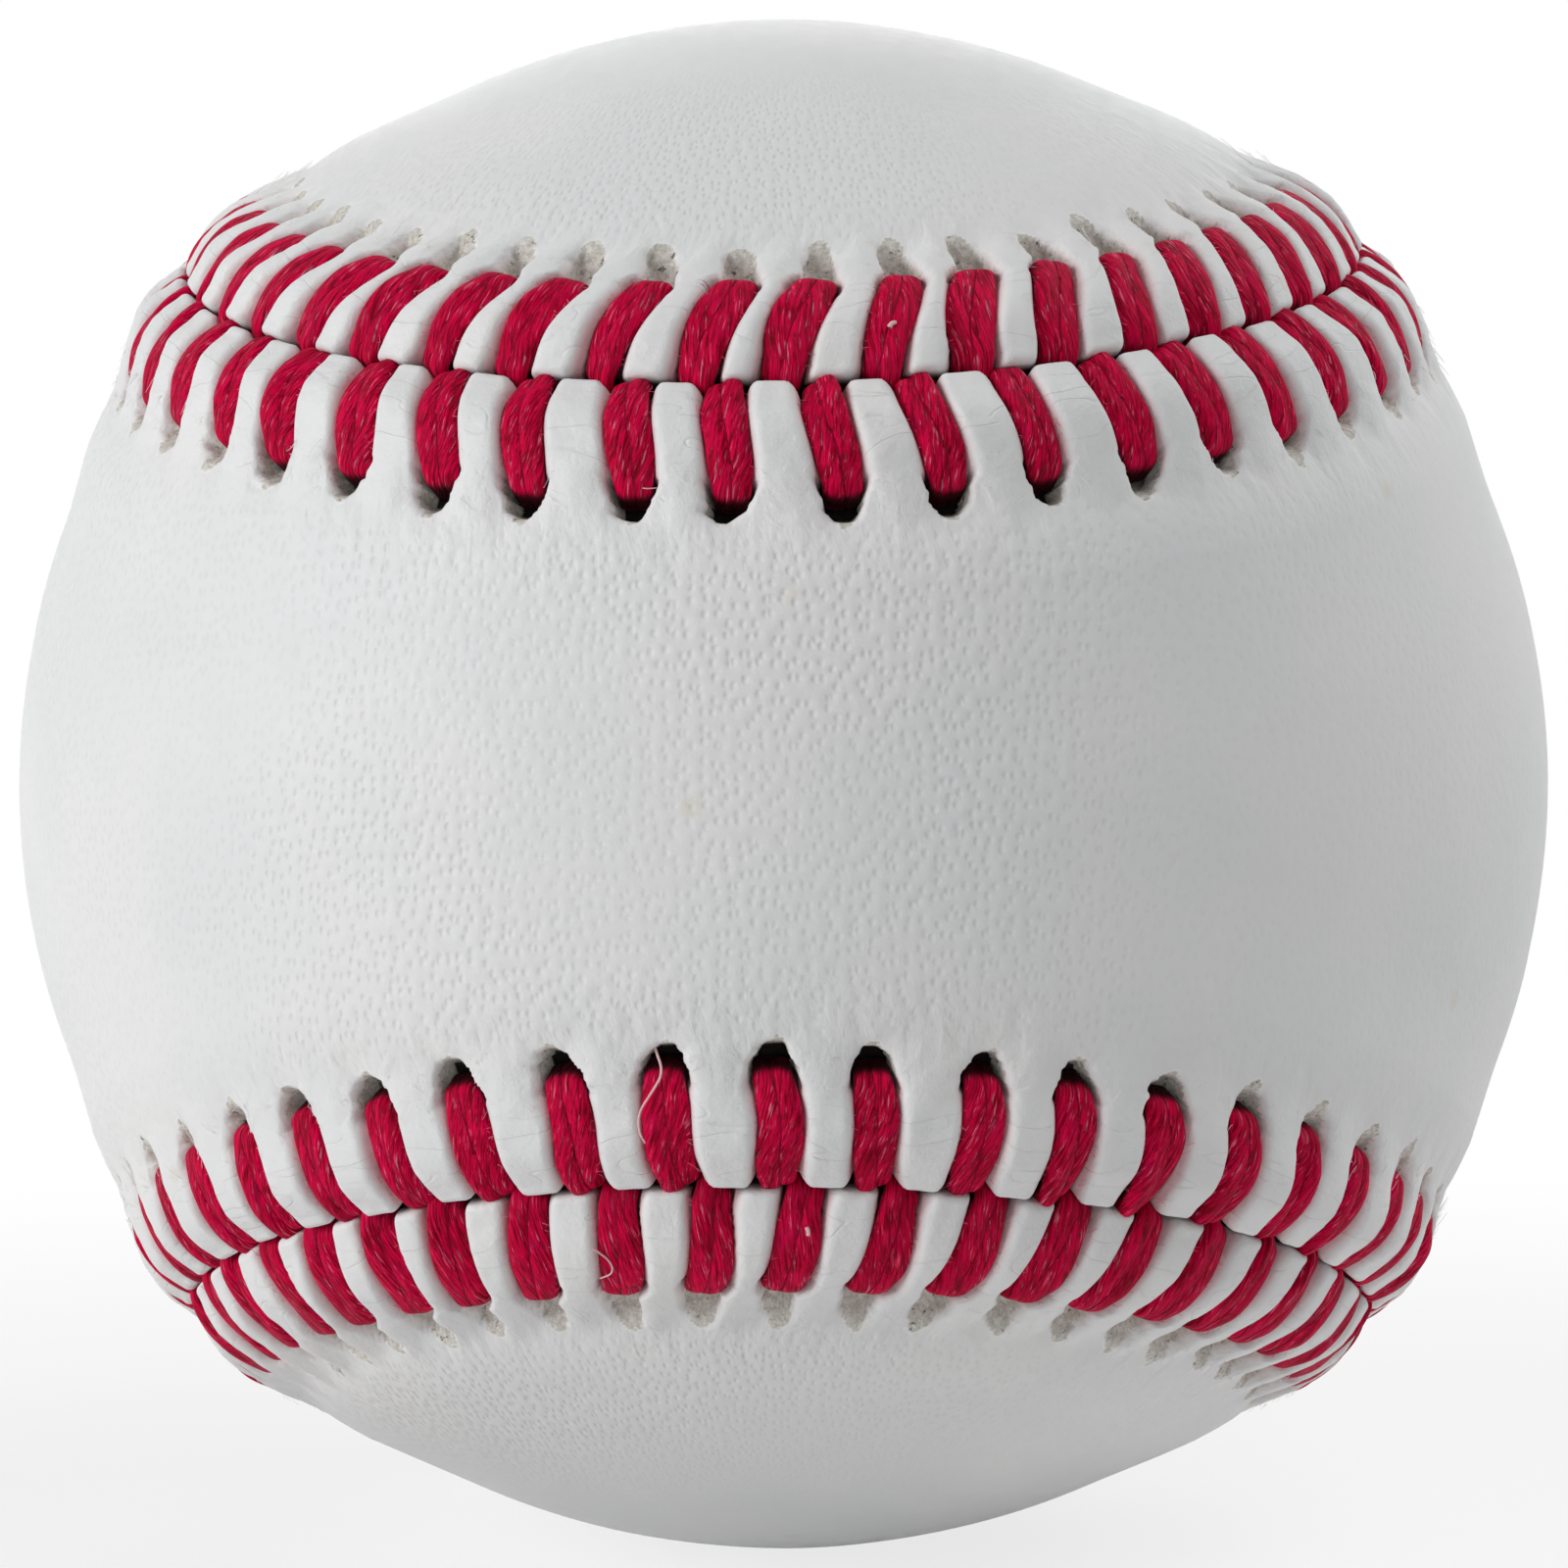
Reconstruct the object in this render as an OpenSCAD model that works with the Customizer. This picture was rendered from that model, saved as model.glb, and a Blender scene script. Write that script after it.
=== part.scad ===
// A baseball, built from the inside out: a cork core in moulded rubber, four
// windings of yarn, a coat of cement, and two figure-eight leather panels that
// are laced edge to edge with waxed thread through punched holes.
// +Z is up and -Y faces the viewer. The origin is the centre of the ball.

/* [Pill] */
// Diameter of the cork composition core
core_d = 20.6; // [16:0.2:26]
// Thickness of the black rubber shell, moulded as two halves
inner_rubber_t = 4; // [2:0.1:6]
// Thickness of the rubber gasket between the halves
gasket_t = 1; // [0.6:0.1:2]
// Thickness of the red rubber layer moulded over them
outer_rubber_t = 2.35; // [1.5:0.05:4]

/* [Windings] */
// Thickness of the first winding, four-ply grey wool
first_winding_t = 14.1; // [10:0.1:18]
// Thickness of the second winding, three-ply white wool
second_winding_t = 1.8; // [1:0.1:3]
// Thickness of the third winding, three-ply grey wool
third_winding_t = 2; // [1:0.1:3]
// Thickness of the finish winding, fine white polyester and cotton
finish_winding_t = 0.4; // [0.3:0.05:1]
// Thickness of the cement brushed over the windings
cement_t = 0.15; // [0.1:0.05:0.4]

/* [Cover] */
// Thickness of the leather
leather_t = 1.3; // [1:0.05:1.6]
// Height of the leather's puckers over the ball, along the seam
pucker_h = 1.65; // [1.4:0.05:1.8]
// Distance from the seam to where the puckers end
welt_w = 8.8; // [8:0.1:10.5]
// Height of the leather over the ball, where the puckers end
welt_h = 0.42; // [0.2:0.02:0.6]
// Distance from the seam to where a panel lies flat on the ball
swell_w = 16; // [13:0.5:16.5]
// Gap between the two panels' edges
seam_gap = 0.24; // [0.16:0.02:0.4]
// How far the seam swings in at the waists, as a share of its loop
waist_share = 0.48; // [0.42:0.01:0.54]
// How far the seam swings fore and aft, as a share of its loop
swing_share = 1.07; // [0.95:0.01:1.2]

/* [Lacing] */
// Number of stitches along the seam, each with a leg on either panel
stitch_count = 108; // [100:4:112]
// Distance from the seam to the middle of a hole
hole_reach = 5.5; // [5:0.1:6]
// Length of a hole, across the seam
hole_l = 2.1; // [2:0.05:2.3]
// Diameter of each of the two plies of the thread
ply_d = 0.9; // [0.84:0.02:0.96]
// Distance between the middles of the two plies, which lie side by side
ply_pitch = 0.8; // [0.74:0.02:0.82]
// Height of a leg's arch over its two ends
arch_rise = 0.7; // [0.6:0.05:0.9]
// Height of the leather's surface at a hole, over the ball
hole_h = 0.55; // [0.45:0.05:0.65]

/* [Clearances] */
// Clearance between one layer of the ball and the next
layer_gap = 0.05; // [0.03:0.01:0.1]
// Clearance between a leg of the lacing and the leather
thread_gap = 0.06; // [0.04:0.01:0.1]

/* [Hidden] */
$fn = 96;

// Radii of the layers, from the core out
core_r = core_d / 2;
inner_rubber_r = core_r + layer_gap + inner_rubber_t;
outer_rubber_r = inner_rubber_r + layer_gap + outer_rubber_t;
first_winding_r = outer_rubber_r + layer_gap + first_winding_t;
second_winding_r = first_winding_r + layer_gap + second_winding_t;
third_winding_r = second_winding_r + layer_gap + third_winding_t;
finish_winding_r = third_winding_r + layer_gap + finish_winding_t;
cement_r = finish_winding_r + layer_gap + cement_t;

// A panel's flat facets sink below the true curve, so the leather starts that much higher
facet_sink_share = 1 / 150;
leather_in_r = (cement_r + layer_gap) * (1 + facet_sink_share);
ball_r = leather_in_r + leather_t;

// The seam, as a unit curve: one turn of the angle goes once round it. It runs
// over the top, down the left of the back, under the bottom and up the right.
loop_angle = 360;
waist_turns = 3;
swing_turns = 2;
seam_samples = 720;
function unit(v) = v / norm(v);
function seam_at(a) = unit([
    -(sin(a) + waist_share * sin(waist_turns * a)),
    -swing_share * cos(swing_turns * a),
    cos(a) - waist_share * cos(waist_turns * a)]);

// Lengths along the seam, so that the stitches can be spaced evenly
sample_step = loop_angle / seam_samples;
seam_points = [for (i = [0 : seam_samples]) seam_at(i * sample_step)];
seam_lengths = [for (i = 0, run = 0; i <= seam_samples;
    run = run + (i < seam_samples ? norm(seam_points[i + 1] - seam_points[i]) : 0), i = i + 1) run];
seam_length = seam_lengths[seam_samples];
angle_table = [for (i = [0 : seam_samples]) [seam_lengths[i], i * sample_step]];
function wrap(x, span) = x - span * floor(x / span);
function angle_of(stitch) = lookup(wrap(stitch / stitch_count, 1) * seam_length, angle_table);

// Direction of the point that lies at a distance from the seam, square to it. A
// positive side is the front panel's. Places along the seam are counted in stitches.
function seam_tangent(a) = unit(seam_at(a + sample_step) - seam_at(a - sample_step));
function beside_seam(stitch, reach, side) =
    let (a = angle_of(stitch), p = seam_at(a), inward = side * cross(p, seam_tangent(a)),
        turn = reach / ball_r * 180 / PI)
    unit(p * cos(turn) + inward * sin(turn));

// The legs lean along the seam, so that each pair makes a chevron
front = 1;
back = -1;
front_lean_share = 0.14;
back_lean_share = 0.5;
stitch_phase_share = 0.11;
function lean_share(side) = side == front ? front_lean_share : back_lean_share;
function leaned(stitch, reach, side) =
    stitch + stitch_phase_share + lean_share(side) * (1 - reach / hole_reach);

// The arch of a leg, seen square to it: it dives by the seam and into its hole
dive_reach = seam_gap / 2 + ply_d / 2 + thread_gap;
arch_reach = (hole_reach + dive_reach) / 2;
arch_half = (hole_reach - dive_reach) / 2;
arch_r = (arch_half * arch_half + arch_rise * arch_rise) / (2 * arch_rise);
arch_centre_h = hole_h + arch_rise - arch_r;
seam_end_angle = asin((arch_reach - seam_gap / 2) / (arch_r + ply_d / 2));
hole_end_turn = 18;
hole_end_angle = asin(arch_half / arch_r) + hole_end_turn;

// A leg's directions at the middle of its arch: outwards, towards the seam, and square to both
function leg_axes(stitch, side) =
    let (hole = beside_seam(leaned(stitch, hole_reach, side), hole_reach, side),
        dive = beside_seam(leaned(stitch, dive_reach, side), dive_reach, side),
        out = unit(hole + dive), axle = unit(cross(hole, dive)))
    [out, cross(axle, out), axle];

// Direction of a point that lies along a leg, at a distance to one side of it
function by_leg(stitch, reach, across, side) =
    let (axes = leg_axes(stitch, side), turn = (arch_reach - reach) / ball_r * 180 / PI)
    unit(axes[0] * cos(turn) + axes[1] * sin(turn) + axes[2] * side * across / ball_r);

// Height of the leather under a leg, at a distance from the seam
under_r = arch_r - ply_d / 2 - thread_gap;
function under_leg(reach) =
    max(0, arch_centre_h + sqrt(max(0, under_r * under_r - pow(reach - arch_reach, 2))));

// Across a panel's edge: under a leg it is notched, between legs it puckers up to the seam
notch_reach = dive_reach + ply_d / 2 + thread_gap;
groove_half = (ply_d + ply_pitch) / 2 + 2 * thread_gap;
hole_in = hole_reach - hole_l / 2;
hole_out = hole_reach + hole_l / 2;
hole_slant = sqrt(arch_r * arch_r - pow(hole_h - leather_t - arch_centre_h, 2)) - arch_half;
shoulder_share = 0.25;
function reach_at(start, share) = start + share * (arch_reach - start);
groove_reaches = [notch_reach, reach_at(notch_reach, shoulder_share), arch_reach, hole_in];
pucker_reaches = [seam_gap / 2, reach_at(seam_gap / 2, shoulder_share), arch_reach, hole_in];
pucker_height_shares = [0.78, 1, 0.97, 0.62];

// One row of a panel's points near the seam, three to a stitch: either side of the leg, and the
// pucker. The last row passes the near ends of the holes, which slant away from the seam.
function groove_point(side, stitch, column, row, lower, slant) =
    by_leg(stitch, groove_reaches[row] + slant, (2 * column - 1) * groove_half, side)
    * (ball_r + under_leg(groove_reaches[row]) - lower);
function pucker_point(side, stitch, row, lower) =
    beside_seam(leaned(stitch, pucker_reaches[row], side) + 1 / 2, pucker_reaches[row], side)
    * (ball_r + pucker_height_shares[row] * pucker_h - lower);
function pucker_row(side, row, lower, slant) =
    [for (stitch = [0 : stitch_count - 1]) for (column = [0 : 2])
    column == 2 ? pucker_point(side, stitch, row, lower)
        : groove_point(side, stitch, column, row, lower, slant)];

// The row at the far ends of the holes, two to a stitch
function hole_row(side, lower, slant) = [for (stitch = [0 : stitch_count - 1])
    for (across = [-groove_half, groove_half])
    by_leg(stitch, hole_out + slant, across, side) * (ball_r + hole_h - lower)];

// Height of the leather over the ball beyond the puckers, at a distance from the seam
function swell(reach) =
    welt_h * (1 + cos(180 * min(1, (reach - welt_w) / (swell_w - welt_w)))) / 2;

// From the puckers' end each column runs to the panel's spine, where it meets its mirror image
ring_count = 5;
spine_share = 0.74;
function welt_dir(side, column) = beside_seam(column + 1 / 2, welt_w, side);
function spine_dir(side, column) =
    let (p = welt_dir(side, column),
        turn = spine_share * (side == front ? atan2(p.x, -p.y) : atan2(p.z, p.y)))
    side == front ? [sin(turn), -cos(turn), 0] : [0, cos(turn), sin(turn)];
function ring_point(p, q, share, r) =
    let (turn = acos(min(1, p * q)), reach = welt_w + share * turn * PI / 180 * ball_r)
    unit(p * sin((1 - share) * turn) + q * sin(share * turn)) * (r + swell(reach));
spine_count = stitch_count / 2;
function spine_first(side) = side == front ? -stitch_count / 4 : 0;
function ring(side, share, r) = [for (column = [0 : stitch_count - 1])
    let (place = wrap(column - spine_first(side), stitch_count),
        mate = place < spine_count ? column : spine_first(side) + stitch_count - 1 - place)
    ring_point(welt_dir(side, column), spine_dir(side, mate), share, r)];
function rings(side, first, r) =
    joined([for (i = [first : ring_count - 1]) ring(side, i / ring_count, r)]);
function spine_row(side, r) = [for (i = [0 : spine_count - 1])
    spine_dir(side, spine_first(side) + i) * r];
function spine_index(side, column) =
    let (place = wrap(column - spine_first(side), stitch_count))
    place < spine_count ? place : stitch_count - 1 - place;

// Where each row starts in a panel's list of points. The inner surface has no ring where the
// puckers end, because its holes reach that far.
outer_edge = 0;
outer_shoulder = outer_edge + 3 * stitch_count;
outer_crest = outer_shoulder + 3 * stitch_count;
outer_hole_in = outer_crest + 3 * stitch_count;
outer_hole_out = outer_hole_in + 3 * stitch_count;
outer_rings = outer_hole_out + 2 * stitch_count;
outer_spine = outer_rings + ring_count * stitch_count;
inner_edge = outer_spine + spine_count;
inner_hole_in = inner_edge + 3 * stitch_count;
inner_hole_out = inner_hole_in + 3 * stitch_count;
inner_rings = inner_hole_out + 2 * stitch_count;
inner_ring_count = ring_count - 1;
inner_spine = inner_rings + inner_ring_count * stitch_count;

function flipped(faces, flip) = flip ? [for (f = faces) [f[0], f[2], f[1]]] : faces;
function quad(a, b, c, d) = [[a, b, c], [a, c, d]];
function next(i, step, count) = (i + step) % count;
function joined(lists) = [for (list = lists) for (item = list) item];

// Triangles between two rows that have as many columns
function even_strip(low, high, count) = joined([for (i = [0 : count - 1])
    quad(low + i, low + next(i, 1, count), high + next(i, 1, count), high + i)]);

// Triangles beside the holes, and from the holes to the first ring
function hole_strip(low, high) = joined([for (i = [0 : stitch_count - 1])
    let (a = low + 3 * i + 1, last = low + next(3 * i, 3, 3 * stitch_count),
        c = high + 2 * i + 1, d = high + next(2 * i, 2, 2 * stitch_count))
    [[a, a + 1, c], [a + 1, d, c], [a + 1, last, d]]]);
function welt_strip(low, high) = joined([for (i = [0 : stitch_count - 1])
    let (a = low + 2 * i, n = low + next(2 * i, 2, 2 * stitch_count),
        c = high + next(i, stitch_count - 1, stitch_count), d = high + i)
    [[a, a + 1, c], [a + 1, d, c], [a + 1, n, d]]]);
function spine_strip(side, low, spine) = joined([for (i = [0 : stitch_count - 1])
    let (n = next(i, 1, stitch_count), c = spine + spine_index(side, i), d = spine + spine_index(side, n))
    c == d ? [[low + i, low + n, c]] : quad(low + i, low + n, d, c)]);

// The four walls of each hole, from the outer surface to the inner one
function hole_walls() = joined([for (i = [0 : stitch_count - 1])
    let (a = outer_hole_in + 3 * i, b = outer_hole_out + 2 * i,
        c = inner_hole_in + 3 * i, d = inner_hole_out + 2 * i)
    concat(quad(a, a + 1, c + 1, c), quad(b + 1, b, d, d + 1),
        quad(b, a, c, d), quad(a + 1, b + 1, d + 1, c + 1))]);

function surface_faces(side, edge, hole_a, hole_b, rings, count, spine) = concat(
    even_strip(edge, hole_a, 3 * stitch_count), hole_strip(hole_a, hole_b), welt_strip(hole_b, rings),
    joined([for (i = [0 : count - 2])
        even_strip(rings + i * stitch_count, rings + (i + 1) * stitch_count, stitch_count)]),
    spine_strip(side, rings + (count - 1) * stitch_count, spine));

module cover_panel(side) {
    points = concat(
        pucker_row(side, 0, 0, 0), pucker_row(side, 1, 0, 0), pucker_row(side, 2, 0, 0),
        pucker_row(side, 3, 0, 0), hole_row(side, 0, 0),
        rings(side, 0, ball_r), spine_row(side, ball_r),
        pucker_row(side, 0, leather_t, 0), pucker_row(side, 3, leather_t, hole_slant),
        hole_row(side, leather_t, hole_slant),
        rings(side, 1, leather_in_r), spine_row(side, leather_in_r));
    outer = concat(
        even_strip(outer_edge, outer_shoulder, 3 * stitch_count),
        even_strip(outer_shoulder, outer_crest, 3 * stitch_count),
        surface_faces(side, outer_crest, outer_hole_in, outer_hole_out,
            outer_rings, ring_count, outer_spine));
    inner = surface_faces(side, inner_edge, inner_hole_in, inner_hole_out,
        inner_rings, inner_ring_count, inner_spine);
    edge = even_strip(inner_edge, outer_edge, 3 * stitch_count);
    polyhedron(points, flipped(concat(outer, flipped(inner, true), edge, hole_walls()),
        side == front));
}

// One leg of the lacing: two plies side by side, arched from the hole to the seam
module leg(stitch, side) {
    axes = leg_axes(stitch, side);
    out = axes[0];
    along = axes[1];
    axle = axes[2];
    centre = out * (ball_r + arch_centre_h);
    multmatrix([
        [out.x, along.x, axle.x, centre.x],
        [out.y, along.y, axle.y, centre.y],
        [out.z, along.z, axle.z, centre.z]])
        rotate([0, 0, -hole_end_angle])
        rotate_extrude(angle = hole_end_angle + seam_end_angle)
        for (ply = [-1, 1])
        translate([arch_r, ply * ply_pitch / 2])
        circle(d = ply_d);
}

// The legs on one panel along a quarter of the seam, counted from the middle of the top stretch
quarter_count = stitch_count / 4;
module lacing(side, quarter) {
    first = quarter * quarter_count + ceil(-quarter_count / 2);
    color("crimson")
        for (i = [0 : quarter_count - 1])
        leg(first + i, side);
}

module shell(r, t) {
    difference() {
        sphere(r);
        sphere(r - t);
    }
}

module cork_core() {
    color("peru")
        sphere(core_r);
}

module inner_rubber_half() {
    color("dimgray")
        intersection() {
            shell(inner_rubber_r, inner_rubber_t);
            translate([0, 0, gasket_t / 2 + layer_gap])
                cylinder(h = inner_rubber_r, r = 2 * inner_rubber_r);
        }
}

module inner_rubber_upper() {
    inner_rubber_half();
}

module inner_rubber_lower() {
    mirror([0, 0, 1])
        inner_rubber_half();
}

module rubber_gasket() {
    color("firebrick")
        intersection() {
            shell(inner_rubber_r, inner_rubber_t);
            cylinder(h = gasket_t, r = 2 * inner_rubber_r, center = true);
        }
}

module outer_rubber() {
    color("brown")
        shell(outer_rubber_r, outer_rubber_t);
}

module first_winding() {
    color("gray")
        shell(first_winding_r, first_winding_t);
}

module second_winding() {
    color("ivory")
        shell(second_winding_r, second_winding_t);
}

module third_winding() {
    color("darkgray")
        shell(third_winding_r, third_winding_t);
}

module finish_winding() {
    color("linen")
        shell(finish_winding_r, finish_winding_t);
}

module cement_coat() {
    color("wheat")
        shell(cement_r, cement_t);
}

module cover_panel_front() {
    color("whitesmoke")
        cover_panel(front);
}

module cover_panel_back() {
    color("whitesmoke")
        cover_panel(back);
}

module lacing_top_front() {
    lacing(front, 0);
}

module lacing_left_front() {
    lacing(front, 1);
}

module lacing_bottom_front() {
    lacing(front, 2);
}

module lacing_right_front() {
    lacing(front, 3);
}

module lacing_top_back() {
    lacing(back, 0);
}

module lacing_left_back() {
    lacing(back, 1);
}

module lacing_bottom_back() {
    lacing(back, 2);
}

module lacing_right_back() {
    lacing(back, 3);
}

cork_core();
inner_rubber_upper();
inner_rubber_lower();
rubber_gasket();
outer_rubber();
first_winding();
second_winding();
third_winding();
finish_winding();
cement_coat();
cover_panel_front();
cover_panel_back();
lacing_top_front();
lacing_left_front();
lacing_bottom_front();
lacing_right_front();
lacing_top_back();
lacing_left_back();
lacing_bottom_back();
lacing_right_back();
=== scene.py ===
"""The looks of a laced leather ball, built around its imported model."""

import math

import bpy
import numpy as np
from mathutils import Matrix, Vector


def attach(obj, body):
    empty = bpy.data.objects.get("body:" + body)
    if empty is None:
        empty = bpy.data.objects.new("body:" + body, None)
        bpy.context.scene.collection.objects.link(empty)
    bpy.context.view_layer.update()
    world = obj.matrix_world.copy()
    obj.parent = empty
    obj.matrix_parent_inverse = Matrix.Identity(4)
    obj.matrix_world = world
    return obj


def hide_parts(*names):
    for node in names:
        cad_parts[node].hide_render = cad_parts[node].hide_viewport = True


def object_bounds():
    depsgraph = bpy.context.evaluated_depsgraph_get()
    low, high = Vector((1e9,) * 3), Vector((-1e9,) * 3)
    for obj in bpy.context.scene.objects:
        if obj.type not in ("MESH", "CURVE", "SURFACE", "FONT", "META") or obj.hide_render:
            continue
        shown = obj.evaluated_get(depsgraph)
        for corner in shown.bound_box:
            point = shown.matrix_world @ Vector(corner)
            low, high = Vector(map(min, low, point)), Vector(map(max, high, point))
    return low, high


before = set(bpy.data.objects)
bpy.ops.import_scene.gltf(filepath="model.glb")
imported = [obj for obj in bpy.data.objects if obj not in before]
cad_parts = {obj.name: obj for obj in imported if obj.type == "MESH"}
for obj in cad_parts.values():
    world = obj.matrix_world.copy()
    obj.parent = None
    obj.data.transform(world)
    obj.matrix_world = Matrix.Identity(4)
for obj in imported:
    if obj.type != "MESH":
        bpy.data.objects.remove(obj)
cad_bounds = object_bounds()

# Metres in a millimetre: sizes below are in millimetres, and meshes are made in metres
MM = 0.001

# The ball's bare leather, which gives the model its width
BALL_R = min(cad_bounds[1][i] - cad_bounds[0][i] for i in range(3)) / 2 / MM
LEATHER_T = 1.3

# The seam, as a unit curve, as the panels are cut
WAIST_SHARE = 0.48
SWING_SHARE = 1.07
SEAM_SAMPLES = 7200

# The lacing: a leg runs from its hole, over the welt, to the seam
STITCH_COUNT = 108
HOLE_REACH = 5.5
DIVE_REACH = 0.63
ARCH_REACH = (HOLE_REACH + DIVE_REACH) / 2
ARCH_HALF = (HOLE_REACH - DIVE_REACH) / 2
STITCH_PHASE = 0.11
FRONT = 1
BACK = -1
THREAD_W = 1.86
THREAD_T = 0.82

# How far along the seam a leg leads from its hole to its dive at the seam, in stitches
LEAN = {FRONT: 0.14, BACK: 0.5}
# Sideways offsets of a leg's middle line: its bow, and a sway that also drifts round the ball
LEG_BOW = {FRONT: 0.1, BACK: 0.22}
LEG_SWAY = {FRONT: 0.0, BACK: -0.15}
LEG_DRIFT = 0.26
SWAY_ZONE = (1, 4.2)
SWAY_LOSS = 0.3
SWAY_LOSS_ZONE = (4.6, 6.2)
# How a leg's far end is cut aslant by its hole's mouth, and how the hole bends beyond it
END_SHEAR = {FRONT: 0.1, BACK: 0.28}
SHEAR_ZONE = (2.6, 4.2)
HOLE_BEND = {FRONT: 0.1, BACK: 0.36}
HOLE_BEND_START = 4.7
# How far the seam is drawn towards the panel that has its waist there, and how far out that is felt
SEAM_PULL = 0.6
PULL_END = 5.5

# The floors of the holes, each with what is added near the panel's own waist
FLOOR_START = (5.15, 0.75)
FLOOR_DEPTH = (0.1, 0.85)
DEEP_HOLES = (0.75, 1)
# Where along a panel's own waist the holes and the thread in them are painted dark as shade
DARK_HOLES = (0.72, 0.97)

# What varies from leg to leg: its middle value, what is added near the panel's own waist, and how far one
# leg differs from the next
VARIED = {
    "hole_shift": (0, 0, 0.025), "seam_shift": (0, 0, 0.03), "bow": (0, 0, 0.09), "width": (1, 0, 0.045),
    "rise": (0, 0, 0.04), "dive": (4.4, 0.5, 0.06), "hole_tip": (6.75, -0.05, 0.12),
    "hole_half": (0.65, 0.09, 0.04), "hole_skew": (0, 0, 0.22), "pillow_swell": (0, 0, 0.05),
    "pillow_reach": (0, 0, 0.035)}

# The middle line of a leg: a flat arch that dives at the seam and at its hole
LEG_TOP_REACH = 2.3
LEG_TOP_H = 1.18
LEG_R = 5.2
SEAM_DIVE = 0.42
DIVE_R = 0.4
SEAM_DIVE_ANGLE = math.radians(86)
HOLE_DIVE_ANGLE = math.radians(80)
BURIED_RUN = 0.9

# The camera, in the photograph's place: it looks at the ball's centre
CAMERA_DISTANCE = 176.4
CAMERA_AZIMUTH = 2.3
CAMERA_ROLL = -0.41
CAMERA_LENS = 81.85
CAMERA_SHIFT = 0.0001

# The white floor: how far it lies under the ball, and half its width
STAGE_DROP = 0.02
STAGE_HALF = 3000.0

# The lamps, in metres: azimuth, elevation, size, and the level that a white surface facing it gets
LAMP_DISTANCE = 0.6
LAMPS = {
    "key_lamp": (-60, 16, 0.34, 0.63), "side_lamp": (105, 44, 0.4, 0.33),
    "top_lamp": (42, 56, 0.3, 0.24), "back_lamp": (180, 25, 0.4, 0.2)}
WORLD_LEVEL = 0.05

rng = np.random.default_rng(108)


def varied(what, own=0):
    """A value for each stitch; own is 1 at the panel's own waist and -1 at the other one's."""
    middle, swing, spread = VARIED[what]
    return middle + swing * own + rng.normal(0, spread, STITCH_COUNT)


def unit(v):
    return v / np.linalg.norm(v, axis=-1, keepdims=True)


def smooth(x, low, high):
    """0 below low, 1 above high, with an even slope between."""
    t = np.clip((x - low) / (high - low), 0, 1)
    return t * t * (3 - 2 * t)


# The seam as a curve on the unit ball

def seam_point(a):
    return unit(np.stack([
        -(np.sin(a) + WAIST_SHARE * np.sin(3 * a)),
        -SWING_SHARE * np.cos(2 * a),
        np.cos(a) - WAIST_SHARE * np.cos(3 * a)], axis=-1))


seam_angles = np.linspace(0, math.tau, SEAM_SAMPLES + 1)
seam_steps = np.linalg.norm(np.diff(seam_point(seam_angles), axis=0), axis=1)
seam_lengths = np.concatenate([[0], np.cumsum(seam_steps)])
STITCH_PITCH = seam_lengths[-1] * BALL_R / STITCH_COUNT


def seam_angle(stitch):
    return np.interp(np.mod(stitch / STITCH_COUNT, 1) * seam_lengths[-1], seam_lengths, seam_angles)


def seam_chord(a):
    """A step along the seam, which gives its direction and its speed."""
    return seam_point(a + seam_angles[1]) - seam_point(a - seam_angles[1])


def beside_seam(stitch, reach, side):
    """Direction of a point beside the seam, on one panel. Places along the seam are in stitches."""
    a = seam_angle(stitch)
    p = seam_point(a)
    inward = side * np.cross(p, unit(seam_chord(a)))
    turn = np.asarray(reach / BALL_R)[..., None]
    return unit(p * np.cos(turn) + inward * np.sin(turn))


def leg_at(stitch, offset=0):
    """The leg that lies at or just before a place along the seam, or one that many legs after it."""
    return np.mod(np.floor(stitch).astype(int) + offset, STITCH_COUNT)


def own_waist(stitch, side):
    """1 where the seam passes a panel's own waist, and -1 where it passes the other one's."""
    return side * np.cos(2 * seam_angle(stitch))


def pulled(direction, stitch):
    """The seam and what lies near it, drawn towards the panel that has its waist there."""
    a = seam_angle(stitch)
    for _ in range(3):
        chord = seam_chord(a)
        a = a + np.sum(direction * chord, -1) / np.sum(chord * chord, -1) * 2 * seam_angles[1]
    tangent = unit(seam_chord(a))
    inward = np.cross(seam_point(a), tangent)
    reach = np.abs(np.arcsin(np.sum(direction * inward, -1))) * BALL_R
    turn = (SEAM_PULL / BALL_R * np.cos(2 * a) * (1 - smooth(reach, 0, PULL_END)))[..., None]
    return unit(direction * np.cos(turn) + np.cross(direction, tangent) * np.sin(turn))


def lean_at(reach, side):
    return STITCH_PHASE + LEAN[side] * (1 - reach / HOLE_REACH)


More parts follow.
